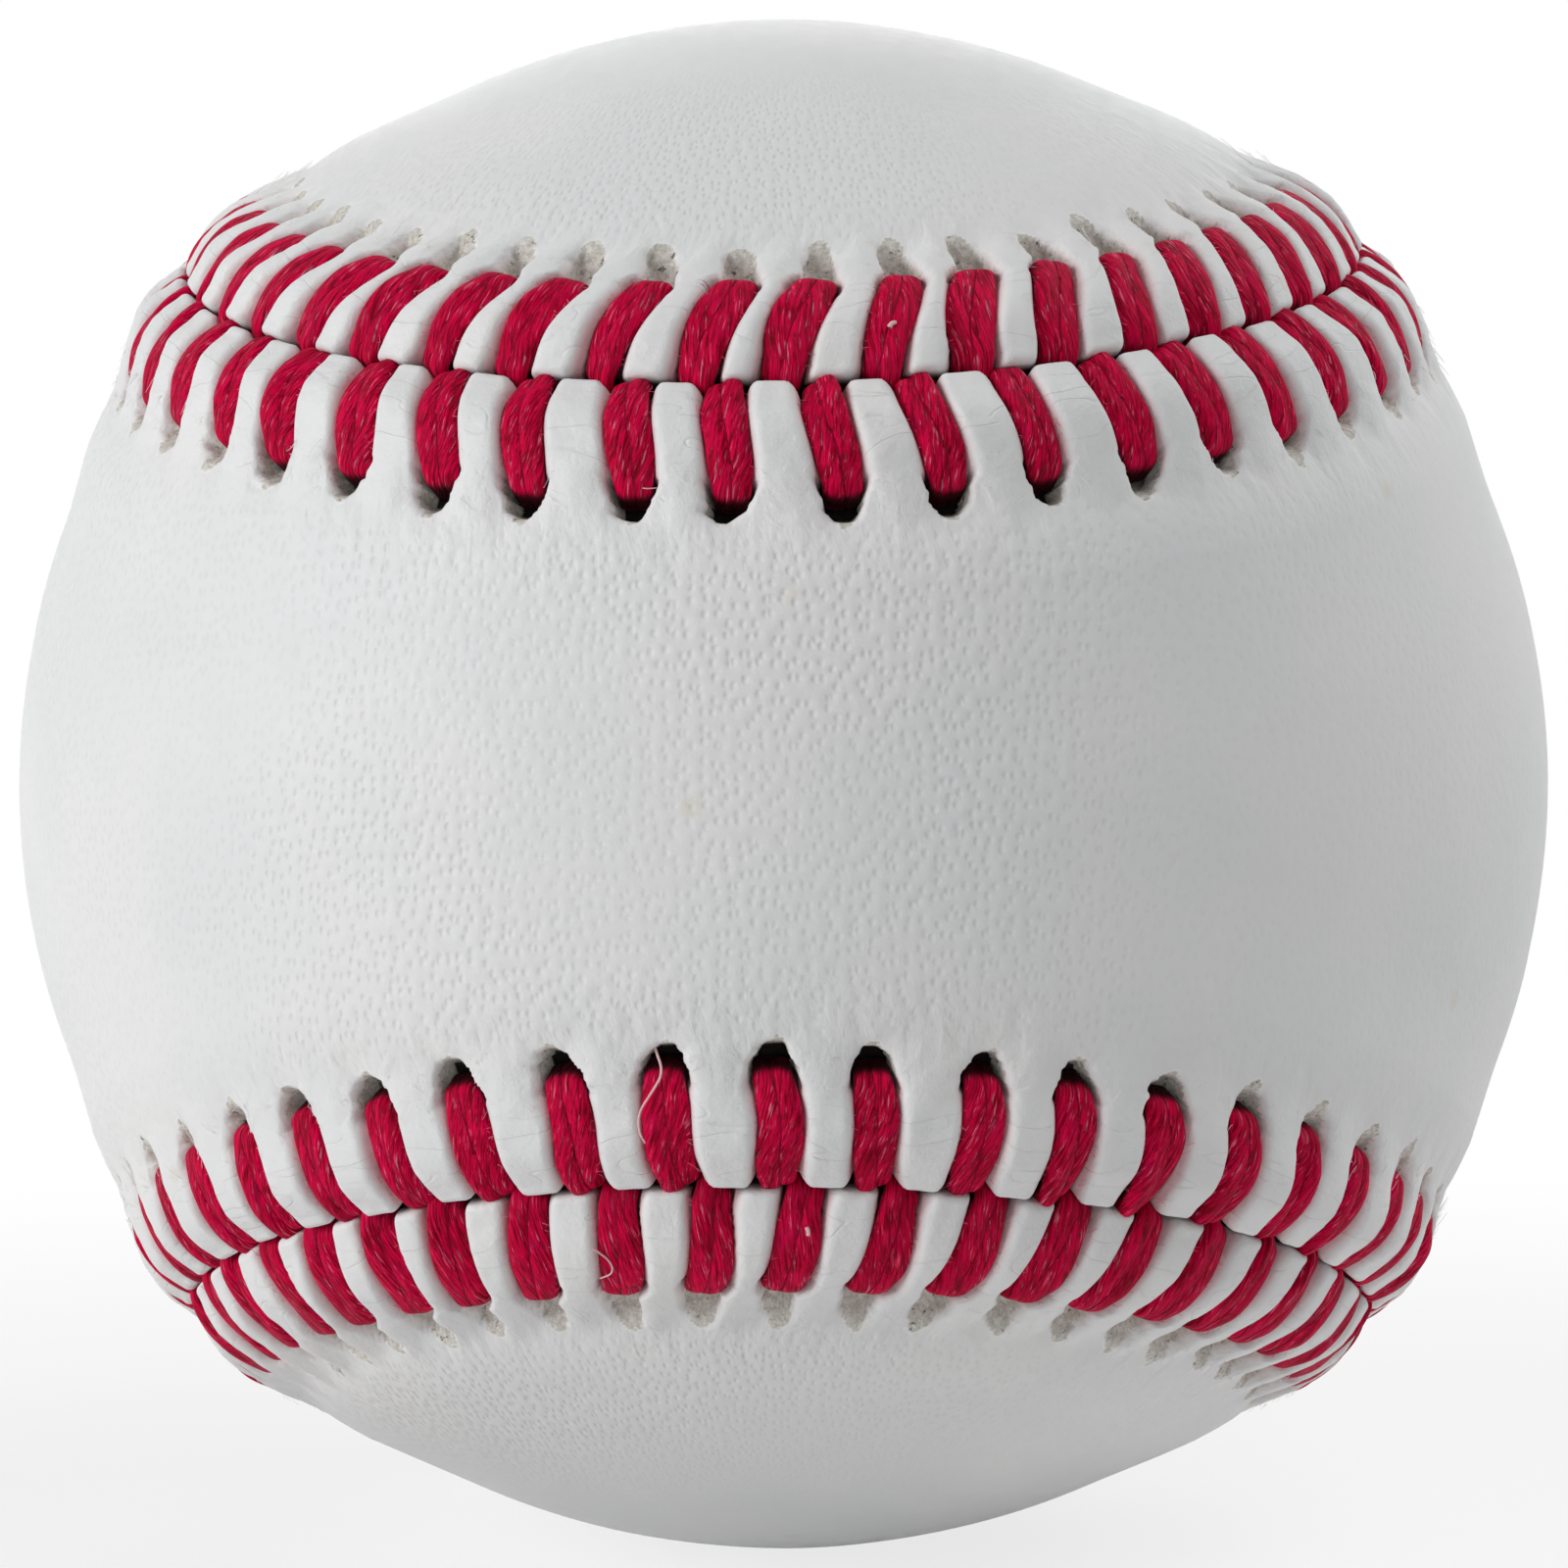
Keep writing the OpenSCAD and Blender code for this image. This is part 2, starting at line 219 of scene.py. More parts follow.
class Legs:
    """The lie of every leg on one panel: its directions, and how it differs from its neighbours."""

    def __init__(self, side):
        self.side = side
        stitch = np.arange(STITCH_COUNT) * 1.0
        hole = beside_seam(stitch + lean_at(HOLE_REACH, side) + varied("hole_shift"), HOLE_REACH, side)
        self.seam_shift = varied("seam_shift")
        dive = beside_seam(stitch + lean_at(DIVE_REACH, side) + self.seam_shift, DIVE_REACH, side)
        self.out = unit(hole + dive)
        self.axle = unit(np.cross(hole, dive))
        self.along = np.cross(self.axle, self.out)
        self.bow = LEG_BOW[side] + varied("bow")
        self.width = THREAD_W * varied("width")
        self.rise = varied("rise")
        self.sway = LEG_SWAY[side] - LEG_DRIFT * np.cos(math.tau * stitch / STITCH_COUNT)
        self.stitch = stitch + STITCH_PHASE
        own = own_waist(self.stitch, side)
        deep = smooth(own, *DEEP_HOLES)
        self.dive = varied("dive", own)
        self.hole_tip = varied("hole_tip", own)
        self.hole_half = varied("hole_half", own)
        self.hole_skew = varied("hole_skew")
        self.floor_start = FLOOR_START[0] + FLOOR_START[1] * deep
        self.floor_depth = FLOOR_DEPTH[0] + FLOOR_DEPTH[1] * deep
        self.shade = 0.5 + 0.5 * own
        # How dark each hole and the thread's end in it are painted, as shade, near the panel's own waist
        self.dark = smooth(own, *DARK_HOLES)

    def bowed(self, leg, reach):
        """Sideways offset of a leg's middle line from the straight one."""
        bow = self.bow[leg] * (1 - np.clip((reach - ARCH_REACH) / ARCH_HALF, -1, 1) ** 2)
        kept = 1 - SWAY_LOSS * smooth(reach, *SWAY_LOSS_ZONE)
        return bow + self.sway[leg] * smooth(reach, *SWAY_ZONE) * kept

    def sheared(self, reach, across):
        """How much further one edge of a leg runs near its hole, whose mouth lies along the seam."""
        return END_SHEAR[self.side] * across * smooth(reach, *SHEAR_ZONE)

    def place(self, leg, reach, across, height):
        """Points in millimetres, from places along and beside the middle line of each leg."""
        turn = ((ARCH_REACH - reach) / BALL_R)[..., None]
        sideways = ((across + self.bowed(leg, reach)) / BALL_R)[..., None]
        direction = unit(self.out[leg] * np.cos(turn) + self.along[leg] * np.sin(turn)
                         + self.axle[leg] * self.side * sideways)
        return pulled(direction, self.stitch[leg]) * (BALL_R + height)[..., None]

    def find(self, leg, direction):
        """How far a direction lies from the seam along a leg, and to one side of its middle line."""
        turn = np.arctan2(np.sum(direction * self.along[leg], -1), np.sum(direction * self.out[leg], -1))
        reach = ARCH_REACH - turn * BALL_R
        across = self.side * np.sum(direction * self.axle[leg], -1) * BALL_R - self.bowed(leg, reach)
        return reach + self.sheared(reach, across), across


legs = {side: Legs(side) for side in (FRONT, BACK)}


class Waves:
    """Smooth noise in space, as a sum of plane waves of about one length."""

    def __init__(self, length, count=24):
        self.directions = unit(rng.normal(size=(count, 3)))
        self.turns = math.tau / length * rng.uniform(0.6, 1.6, count)
        self.phases = rng.uniform(0, math.tau, count)

    def at(self, points):
        waves = zip(self.directions, self.turns, self.phases)
        total = sum(np.sin(points @ direction * turn + phase) for direction, turn, phase in waves)
        return total / math.sqrt(len(self.phases))


broad_waves = Waves(11)
pillow_waves = Waves(2.6)
grain_waves = Waves(0.9)
ragged_waves = Waves(0.4)
wrinkle_waves = Waves(0.9)

# How far the waves move the leather up and down, or a hole's rim sideways
BROAD_H = 0.03
PILLOW_WAVE_H = 0.028
GRAIN_WAVE_H = 0.012
WRINKLE_H = 0.02
RAGGED_COARSE = 0.06
RAGGED_FINE = 0.04

# The leather beside the seam
COLUMNS = 24
COLUMN_SWAY = 0.035
EDGE_H = 1.3
PILLOW_H = 1.74
CREST_REACH = 2.2
PUCKER_END = 7.0
SWELL_H = 0.58
SWELL_FALL = (6.0, 17.0)
WELT_END = 9.4
EDGE_REACH = 0.04
EDGE_ROUND = 0.3
EDGE_ANGLES = (0, 18, 36, 54, 72, 90)
EDGE_SHIFT_END = 2.6
WALL_ROWS = 4
NOTCH_SETBACK = 0.5
NOTCH_SOFT = 0.36
PILLOW_TAIL = 0.45

# The groove under a leg, its shoulders, and the hole in which it ends
GROOVE_SINK = 0.34
GROOVE_INSET = 0.1
SHOULDER_W = 0.5
SHOULDER_LOSS = 0.24
SHOULDER_POWER = 0.6
HOLE_MIDDLE = 5.4
HOLE_LIP_H = 0.65
HOLE_POINT = 0.6
HOLE_POINT_ZONE = (5.2, 5.8)
RAGGED_ZONE = (5.0, 5.6)
DIMPLE_REACH = 6
DIMPLE_SPREAD = 1.1
DIMPLE_DEPTH = 0.12

# The rows of points that run along the seam, and the rings from there to a panel's spine
ROW_STEP = 0.18
HOLE_ROW_STEP = 0.12
HOLE_ROWS = (4.6, 7.1)
LAST_ROWS = 9
LEAN_END = 6.4
INNER_ROWS = (2.5, 6.0)
SPINE_SHARE = 0.74
OUTER_RINGS = 30
INNER_RINGS = 6
PANEL_SHIFT = 50
FAR_REACH = 30


def leg_height(reach):
    """Height of a leg's middle line over the ball, between its two dives."""
    return LEG_TOP_H - LEG_R + np.sqrt(np.maximum(0.01, LEG_R**2 - (reach - LEG_TOP_REACH) ** 2))


def under_leg(reach, lie, leg):
    """Height of the leather under a leg, down into its hole."""
    groove = leg_height(reach) - GROOVE_SINK - 3 * smooth(reach - lie.dive[leg], -0.3, 0.2)
    rise = smooth(reach, lie.floor_start[leg], lie.hole_tip[leg] + 0.1)
    return np.maximum(groove, -lie.floor_depth[leg] + (lie.floor_depth[leg] + HOLE_LIP_H) * rise)


def swell_height(reach):
    """Height of the broad swell on which the whole welt sits."""
    fall = np.clip((reach - SWELL_FALL[0]) / np.ptp(SWELL_FALL), 0, 1)
    return SWELL_H * (1 + np.cos(math.pi * fall)) / 2


def pillow_height(reach, sigma):
    """Height of the puckered leather between two legs."""
    tail = PILLOW_TAIL * smooth(reach, 3, 5.5) * np.cos(math.tau * sigma)
    fall = np.clip((reach + tail - CREST_REACH) / (PUCKER_END - CREST_REACH), 0, 1)
    crest = (1 + np.cos(math.pi * fall)) / 2
    dip = (PILLOW_H - EDGE_H) * (1 - smooth(reach, 0, CREST_REACH))
    return (PILLOW_H - SWELL_H) * crest - dip + swell_height(reach)


def pillow_swell(sigma, reach, side):
    """How each pillow's height differs from its neighbours', dying out at the holes."""
    return legs[side].pillow_swell[leg_at(sigma)] * (1 - smooth(reach, 3, 5))


for side in (FRONT, BACK):
    legs[side].pillow_swell = varied("pillow_swell")
    legs[side].pillow_reach = varied("pillow_reach")


def along_seam(sigma, beyond):
    """Places along the seam, wrapped round a cylinder so that they have no end, and a third measure."""
    turn = math.tau * sigma / STITCH_COUNT
    ring_r = STITCH_PITCH * STITCH_COUNT / math.tau
    return np.stack([ring_r * np.cos(turn), ring_r * np.sin(turn), beyond], axis=-1)


def leather_surface(side, sigma, reach, direction):
    """Height of the leather, and how deep each point lies in a hole and in a leg's groove."""
    lie = legs[side]
    smooth_h = pillow_height(reach, sigma) + pillow_swell(sigma, reach, side)
    lift = np.ones_like(reach)
    bed = np.full_like(reach, 1e3)
    beyond = np.zeros_like(reach)
    dark = np.zeros_like(reach)
    dimple = np.zeros_like(reach)
    for offset in (0, 1):
        leg = leg_at(sigma, offset)
        along, across = lie.find(leg, direction)
        half = lie.width[leg] / 2 - GROOVE_INSET
        half = half + (lie.hole_half[leg] - half) * smooth(along - lie.dive[leg], 0.2, 0.8)
        past = np.maximum(0, along - HOLE_MIDDLE) * lie.hole_half[leg] / (lie.hole_tip[leg] - HOLE_MIDDLE)
        points = direction * BALL_R
        ragged = RAGGED_COARSE * grain_waves.at(points) + RAGGED_FINE * ragged_waves.at(points)
        ragged = ragged * smooth(along, *RAGGED_ZONE) * (0.5 + 0.5 * lie.shade[leg])
        bend = HOLE_BEND[side] * np.maximum(0, along - HOLE_BEND_START)
        aside = np.abs(across - bend - lie.hole_skew[leg] * past)
        point = 2 - HOLE_POINT * smooth(along, *HOLE_POINT_ZONE) * lie.shade[leg]
        distance = (aside**point + past**point) ** (1 / point) + ragged
        shoulder = SHOULDER_W - SHOULDER_LOSS * smooth(along - lie.dive[leg], -0.2, 0.6)
        t = np.clip((distance - half) / shoulder, 0, 1)
        leg_lift = (1 - (1 - t) ** 2) ** SHOULDER_POWER
        nearer = leg_lift < lift
        bed = np.where(nearer, under_leg(along, lie, leg), bed)
        beyond = np.where(nearer, smooth(along - lie.dive[leg], 0.1, 0.5), beyond)
        dark = np.where(nearer, lie.dark[leg], dark)
        lift = np.minimum(lift, leg_lift)
        dimple = np.maximum(dimple, np.exp(-(across**2 + (along - DIMPLE_REACH) ** 2) / DIMPLE_SPREAD))
    rim = smooth_h - DIMPLE_DEPTH * dimple
    bed = np.minimum(bed, rim)
    height = bed + (rim - bed) * lift
    ripple = smooth(lift, 0.3, 1) * (1 - smooth(reach, 6, WELT_END))
    waves = PILLOW_WAVE_H * pillow_waves.at(points) + GRAIN_WAVE_H * grain_waves.at(points)
    height = height + waves * ripple
    wrinkled = smooth(reach, 4.6, 6.2) * (1 - smooth(reach, 7, WELT_END)) * smooth(lift, 0.5, 1)
    height = height + WRINKLE_H * wrinkle_waves.at(along_seam(sigma, 0.12 * reach)) * wrinkled
    # How deep below the rim a point lies, which is painted near black as shade in the hole
    sunk = smooth(rim - height, 0.1, 1.5) * (0.6 + 0.4 * dark)
    in_hole = np.maximum(sunk, 0.24 * smooth(1 - lift, 0.35, 0.75)) * beyond
    return height, in_hole, 1 - lift


def added(name, data):
    """A new object in the scene."""
    made = bpy.data.objects.new(name, data)
    bpy.context.scene.collection.objects.link(made)
    return made


def mesh_object(name, points, faces, attributes=None):
    """A smooth-shaded piece from points in millimetres and arrays of faces."""
    mesh = bpy.data.meshes.new(name)

    def put(items, field, values, kind=np.int32):
        items.foreach_set(field, values.astype(kind).ravel())

    corners = np.concatenate([f.ravel() for f in faces])
    sizes = np.concatenate([np.full(len(f), f.shape[1]) for f in faces])
    mesh.vertices.add(len(points))
    mesh.loops.add(len(corners))
    mesh.polygons.add(len(sizes))
    put(mesh.vertices, "co", points * MM, np.float32)
    put(mesh.loops, "vertex_index", corners)
    put(mesh.polygons, "loop_start", np.cumsum(sizes) - sizes)
    put(mesh.polygons, "loop_total", sizes)
    put(mesh.polygons, "use_smooth", np.ones(len(sizes)), bool)
    mesh.update(calc_edges=True)
    for label, values in (attributes or {}).items():
        kind, field = ("FLOAT", "value") if values.ndim == 1 else ("FLOAT_VECTOR", "vector")
        put(mesh.attributes.new(label, kind, "POINT").data, field, values, np.float32)
    mesh.validate()
    return added(name, mesh)


def grid_faces(starts, count):
    """Quads between rows of points that close on themselves; starts has each row's first point."""
    column = np.arange(count)
    after = (column + 1) % count
    return np.concatenate([
        np.stack([low + column, low + after, high + after, high + column], axis=1)
        for low, high in zip(starts[:-1], starts[1:])])


def tube_faces(rings, sides):
    """Quads along a tube of rings, and the two caps that close it."""
    starts = np.arange(rings) * sides
    caps = np.array([np.arange(sides)[::-1], starts[-1] + np.arange(sides)])
    return grid_faces(starts, sides), caps


def sheet_faces(starts, spine, order):
    """Faces through all rows of a sheet, and on to the panel's spine, which mirrored columns share."""
    column = np.arange(len(order))
    after = np.roll(column, -1)
    low, high = spine + order, spine + order[after]
    same = low == high
    quads = np.stack([starts[-1] + column, starts[-1] + after, high, low], axis=1)[~same]
    triangles = np.stack([starts[-1] + column, starts[-1] + after, low], axis=1)[same]
    return [grid_faces(starts, len(order)), quads, triangles]


def outward(points, faces):
    """The same faces, turned so that they face out of the closed shape."""
    volume = 0
    for f in faces:
        for k in range(1, f.shape[1] - 1):
            a, b, c = points[f[:, 0]], points[f[:, k]], points[f[:, k + 1]]
            volume += np.sum(a * np.cross(b, c))
    return faces if volume > 0 else [f[:, ::-1] for f in faces]


def edge_reach(side, sigma):
    """How far a panel's cut edge lies from the seam, with a notch where each leg passes."""
    lie = legs[side]
    nearest = np.round(sigma)
    beside_leg = np.abs(sigma - nearest - lie.seam_shift[leg_at(nearest)]) * STITCH_PITCH
    notch = 1 - smooth(beside_leg, THREAD_W / 2 - NOTCH_SOFT, THREAD_W / 2 + NOTCH_SOFT)
    wobble = lie.pillow_reach[leg_at(sigma)] * (1 - notch)
    return EDGE_REACH + NOTCH_SETBACK * notch + np.abs(wobble)


def edge_and_welt_rows():
    """Rows beside the seam: reach, sink by the edge's rounding, drop down its wall, and share of edge,
    where the cut edge is painted dark as shade with some thread dye.
    """
    rows = [(0, EDGE_ROUND, drop, 1) for drop in np.linspace(1, 0, WALL_ROWS + 1)[:-1]]
    for angle in np.radians(EDGE_ANGLES):
        run, fall = 1 - math.cos(angle), 1 - math.sin(angle)
        rows.append((EDGE_ROUND * run, EDGE_ROUND * fall, 0, 0.4 * math.cos(angle) ** 3))
    reaches = np.concatenate([
        np.arange(EDGE_ROUND + 0.16, HOLE_ROWS[0], ROW_STEP),
        np.arange(*HOLE_ROWS, HOLE_ROW_STEP),
        np.linspace(HOLE_ROWS[1], WELT_END, LAST_ROWS)])
    return rows + [(reach, 0, 0, 0) for reach in reaches]


def panel_spine(side, welt):
    """The line inside a panel where its columns of points meet: each one's order on it, and its end."""
    count = len(welt)
    first = -STITCH_COUNT // 4 * COLUMNS if side == FRONT else 0
    place = np.mod(np.arange(count) - first, count)
    order = np.where(place < count // 2, place, count - 1 - place)
    facing = welt[np.mod(first + order, count)]
    across = 0 if side == FRONT else 2
    turn = SPINE_SHARE * np.arctan2(facing[:, across], -side * facing[:, 1])
    spine = [0 * turn, -side * np.cos(turn), 0 * turn]
    spine[across] = np.sin(turn)
    return order, np.stack(spine, axis=1)


def bare_leather(direction, reach):
    """Points on the leather beyond the welt, which has only broad, shallow lumps."""
    lumps = -BROAD_H + BROAD_H * np.tanh(broad_waves.at(direction * BALL_R))
    return direction * (BALL_R + lumps * smooth(reach, 7, 12) + swell_height(reach))[:, None]


def cover_panel(name, side):
    """One figure-eight panel of leather, with its puckers, grooves and holes, as a closed sheet."""
    count = STITCH_COUNT * COLUMNS
    sigma = (np.arange(count) + 0.5) / COLUMNS
    sigma += COLUMN_SWAY * np.sin(4 * math.pi * sigma)
    edge = edge_reach(side, sigma)
    rows = []

    def directions(reach):
        shear = 1 - smooth(reach, LEAN_END, WELT_END)
        return beside_seam(sigma + lean_at(reach, side) * shear, reach, side)

    def add_row(points, reach, in_hole=0, in_groove=0, on_edge=0):
        """One more row of points, with what the material needs to know there."""
        values = np.broadcast_arrays(reach, in_hole, in_groove, on_edge)
        rows.append(np.column_stack([points, along_seam(sigma, reach + side * PANEL_SHIFT), *values]))

    for reach, sink, drop, on_edge in edge_and_welt_rows():
        reach = reach + edge * np.clip(1 - reach / EDGE_SHIFT_END, 0, 1)
        height, in_hole, in_groove = leather_surface(side, sigma, reach, directions(reach))
        height -= sink
        height -= drop * (height + LEATHER_T)
        drawn = pulled(directions(reach), sigma + lean_at(reach, side))
        add_row(drawn * (BALL_R + height)[:, None], reach, in_hole, in_groove, on_edge)

    welt = directions(np.full(count, WELT_END))
    order, spine = panel_spine(side, welt)
    arc = np.arccos(np.clip(np.sum(welt * spine, axis=1), -1, 1))[:, None]

    def ring(share):
        """Directions that share of the way from the welt to the spine."""
        return unit(welt * np.sin((1 - share) * arc) + spine * np.sin(share * arc))

    for i in range(1, OUTER_RINGS):
        reach = WELT_END + arc[:, 0] * BALL_R * i / OUTER_RINGS
        add_row(bare_leather(ring(i / OUTER_RINGS), reach), reach)
    shown = np.concatenate(rows)

    on_spine = np.argsort(order, kind="stable")[::2]
    outer_spine = bare_leather(spine[on_spine], WELT_END + arc[on_spine, 0] * BALL_R)
    inner_rows = [directions(np.full(count, reach)) for reach in INNER_ROWS]
    inner_rows += [ring(i / INNER_RINGS) for i in range(INNER_RINGS)]
    inner = np.concatenate(inner_rows + [spine[on_spine]]) * (BALL_R - LEATHER_T)
    points = np.concatenate([shown[:, :3], outer_spine, inner])

    inner_start = len(shown) + count // 2
    inner_end = inner_start + len(inner_rows) * count
    outer_starts = range(0, len(shown), count)
    inner_starts = [0, *range(inner_start, inner_end, count)]
    inner_faces = sheet_faces(inner_starts, inner_end, order)
    faces = sheet_faces(outer_starts, len(shown), order) + [f[:, ::-1] for f in inner_faces]

    known = np.zeros((len(points), 7))
    known[:, 3] = FAR_REACH
    known[:len(shown)] = shown[:, 3:]
    piece = mesh_object(name, points, outward(points, faces), {
        "seam_place": known[:, :3], "seam_reach": known[:, 3], "in_hole": known[:, 4],
        "in_groove": known[:, 5], "on_edge": known[:, 6]})
    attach(piece, "root")
    return piece


# The thread: two plies side by side, which turn a little about each other
AROUND = 30
ARCH_RINGS = 26
DIVE_RINGS = 7
BURIED_RINGS = 3
PLY_FLATNESS = 0.7
PLY_BITE = (0.7, 0.88)
PLY_TILT = 8
PLY_TURN = (24, 9)
SEAM_PINCH = 0.17
SEAM_THINNING = 0.12
HOLE_TAPER = 0.13
HOLE_TAPER_SWING = 0.03
WIDTH_WAVE = 0.03
FIBRE_TWIST = 0.32
FIBRE_ROUND = 0.4
FIBRE_PLY_SHIFT = 7
FIBRE_LEG_SHIFT = 60


def leg_path(hole_dive):
    """The middle line of a leg from the seam to its hole: its slope, reach and height at each ring."""
    rise = math.asin((LEG_TOP_REACH - SEAM_DIVE) / LEG_R)
    fall = math.asin((hole_dive - LEG_TOP_REACH) / LEG_R)
    slopes = [-SEAM_DIVE_ANGLE]
    runs = [0]

    def straight(slope, length, steps):
        slopes.extend([slope] * steps)
        runs.extend([length / steps] * steps)

    def arc(end, radius, steps):
        start = slopes[-1]
        slopes.extend(start + (end - start) * (i + 1) / steps for i in range(steps))
        runs.extend([radius * (end - start) / steps] * steps)

    straight(-SEAM_DIVE_ANGLE, BURIED_RUN, BURIED_RINGS)
    arc(-rise, DIVE_R, DIVE_RINGS)
    arc(fall, LEG_R, ARCH_RINGS)
    arc(HOLE_DIVE_ANGLE, DIVE_R, DIVE_RINGS)
    straight(HOLE_DIVE_ANGLE, BURIED_RUN, BURIED_RINGS)
    slopes, runs = np.array(slopes), np.array(runs)
    middle = (slopes + np.roll(slopes, 1)) / 2
    reach = np.cumsum(runs * np.cos(middle))
    height = -np.cumsum(runs * np.sin(middle))
    top = np.argmin(np.abs(slopes))
    reach += LEG_TOP_REACH + LEG_R * math.sin(slopes[top]) - reach[top]
    height += LEG_TOP_H - LEG_R * (1 - math.cos(slopes[top])) - height[top]
    return slopes, reach, height


def thread_section(width, thickness, roll, bite):
    """The outline of two plies side by side, as seen end on: across, up, and the place round each ply."""
    theta = np.linspace(0, math.tau, AROUND, endpoint=False)
    angle = theta[None, :] - roll[:, None]
    centre = width[:, None] / 4 * bite[:, None]
    wide = width[:, None] / 2 - centre
    tall = thickness[:, None] / 2
    c, s = np.abs(np.cos(angle)), np.sin(angle)
    a = c**2 / wide**2 + s**2 / tall**2
    b = c * centre / wide**2
    r = (b + np.sqrt(b**2 - a * (centre**2 / wide**2 - 1))) / a
    local_x, local_y = r * np.cos(angle), r * s
    local_y = np.sign(s) * tall * np.abs(local_y / tall) ** PLY_FLATNESS
    ply = np.sign(np.cos(angle))
    round_ply = np.arctan2(local_y, np.abs(local_x) - centre) * ply
    turn = roll[:, None]
    across = local_x * np.cos(turn) - local_y * np.sin(turn)
    up = local_x * np.sin(turn) + local_y * np.cos(turn)
    return across, up, round_ply, ply


def leg_mesh(side, leg):
    """Points, faces and fibre places of one leg."""
    lie = legs[side]
    angles, reach, height = leg_path(lie.dive[leg])
    run = np.concatenate([[0], np.cumsum(np.hypot(np.diff(reach), np.diff(height)))])
    share = run / run[-1]
    taper = HOLE_TAPER + HOLE_TAPER_SWING * lie.shade[leg]
    narrowed = taper * smooth(reach - lie.dive[leg], -1.2, 0.3)
    pinch = 1 - SEAM_PINCH * (1 - smooth(reach, 0.2, 2.2)) - narrowed
    swell = 1 + WIDTH_WAVE * np.sin(math.tau * (share * rng.uniform(1, 2.5) + rng.random()))
    width = lie.width[leg] * pinch * swell
    thickness = THREAD_T * (1 - SEAM_THINNING * (1 - smooth(reach, 0, 1.2))) * np.ones_like(width)
    tilt = math.radians(rng.normal(0, PLY_TILT))
    roll = tilt + math.radians(rng.normal(*PLY_TURN)) * (share - rng.uniform(0.3, 0.7)) * 2
    at_hole = smooth(reach - lie.dive[leg], -1.4, 0.1)
    roll *= 1 - 0.7 * at_hole
    bite = rng.uniform(*PLY_BITE) * (1 - 0.35 * at_hole)
    across, up, round_ply, ply = thread_section(width, thickness, roll, bite)
    height += lie.rise[leg] * np.sin(math.pi * np.clip((reach - 0.4) / 5, 0, 1))
    full_reach = reach[:, None] + up * np.sin(angles)[:, None]
    full_height = height[:, None] + up * np.cos(angles)[:, None]
    index = np.full(full_reach.shape, leg)
    full_reach -= lie.sheared(full_reach, across)
    points = lie.place(index, full_reach, across, full_height).reshape(-1, 3)
    faces, caps = tube_faces(len(reach), AROUND)
    twist = FIBRE_TWIST * run[:, None]
    fibre = np.stack([
        round_ply * FIBRE_ROUND + twist + rng.uniform(0, FIBRE_LEG_SHIFT),
        np.broadcast_to(run[:, None], ply.shape) + ply * FIBRE_PLY_SHIFT,
        np.full(ply.shape, rng.uniform(0, FIBRE_LEG_SHIFT))], axis=-1).reshape(-1, 3)
    # How far the thread has sunk into its hole, where it is painted near black as shade
    deep = 0.1 + 0.4 * lie.dark[leg]
    sunk = 1 - smooth(full_height, deep - 0.5, deep + 0.45)
    return points, faces, caps, fibre, sunk.ravel()


def lacing(name, side, quarter):
    """The legs on one panel along a quarter of the seam, as one piece of separate closed threads."""
    quarter_count = STITCH_COUNT // 4
    first = quarter * quarter_count + math.ceil(-quarter_count / 2)
    made = [leg_mesh(side, (first + i) % STITCH_COUNT) for i in range(quarter_count)]
    points, quads, caps, fibre, sunk = [np.concatenate(part) for part in zip(*made)]
    leg_starts = np.arange(quarter_count) * (len(points) // quarter_count)
    faces = [f + np.repeat(leg_starts, len(f) // quarter_count)[:, None] for f in (quads, caps)]
    piece = mesh_object(name, points, outward(points, faces), {"fibre": fibre, "sunk": sunk})
    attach(piece, "root")
    return piece


# Loose fibres: short hairs of the leather and the thread, and a few longer filaments
HAIR_POINTS = 6
HAIR_SIDES = 5
HAIR_RADII = (0.008, 0.016)
# The pieces of hairs: slot, hairs to a leg, length, and material with its colour
HAIRS = {
    "hairs_of_leather": ("leather", 10, 0.6, "hair_pale", (0.88, 0.86, 0.85)),
    "hairs_of_thread": ("thread", 12, 0.4, "hair_pink", (0.80, 0.17, 0.26))}


def fibres(name, paths, radii):
    """Thin closed tubes along paths in millimetres, as one piece."""
    along = unit(np.gradient(paths, axis=1))
    beside = unit(np.cross(along, unit(paths)))
    over = np.cross(beside, along)
    turn = np.arange(HAIR_SIDES) * math.tau / HAIR_SIDES
    ring = beside[:, :, None] * np.cos(turn)[:, None] + over[:, :, None] * np.sin(turn)[:, None]
    thick = radii[:, None] * np.linspace(1, 0.6, paths.shape[1])
    points = (paths[:, :, None] + ring * thick[:, :, None, None]).reshape(-1, 3)
    tube, caps = tube_faces(paths.shape[1], HAIR_SIDES)
    shift = (np.arange(len(paths)) * paths.shape[1] * HAIR_SIDES)[:, None, None]
    faces = outward(points, [(tube + shift).reshape(-1, 4), (caps + shift).reshape(-1, HAIR_SIDES)])
    piece = mesh_object(name, points, faces)
    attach(piece, "root")
    return piece


def curls(roots, heading, length, lift):
    """Curved paths that start at points on the ball, lead off along a heading and bend back down."""
    count = len(roots)
    up = unit(roots)
    first = unit(heading + 0.45 * unit(np.cross(up, rng.normal(size=(count, 3)))) + lift * up)
    second = unit(np.cross(up, rng.normal(size=(count, 3))) - 0.6 * lift * up)
    share = np.linspace(0, 1, HAIR_POINTS)[None, :, None]
    reach = (length * rng.uniform(0.4, 1.3, count))[:, None, None]
    return roots[:, None] + reach * (share * first[:, None] + 0.6 * share**2 * second[:, None])


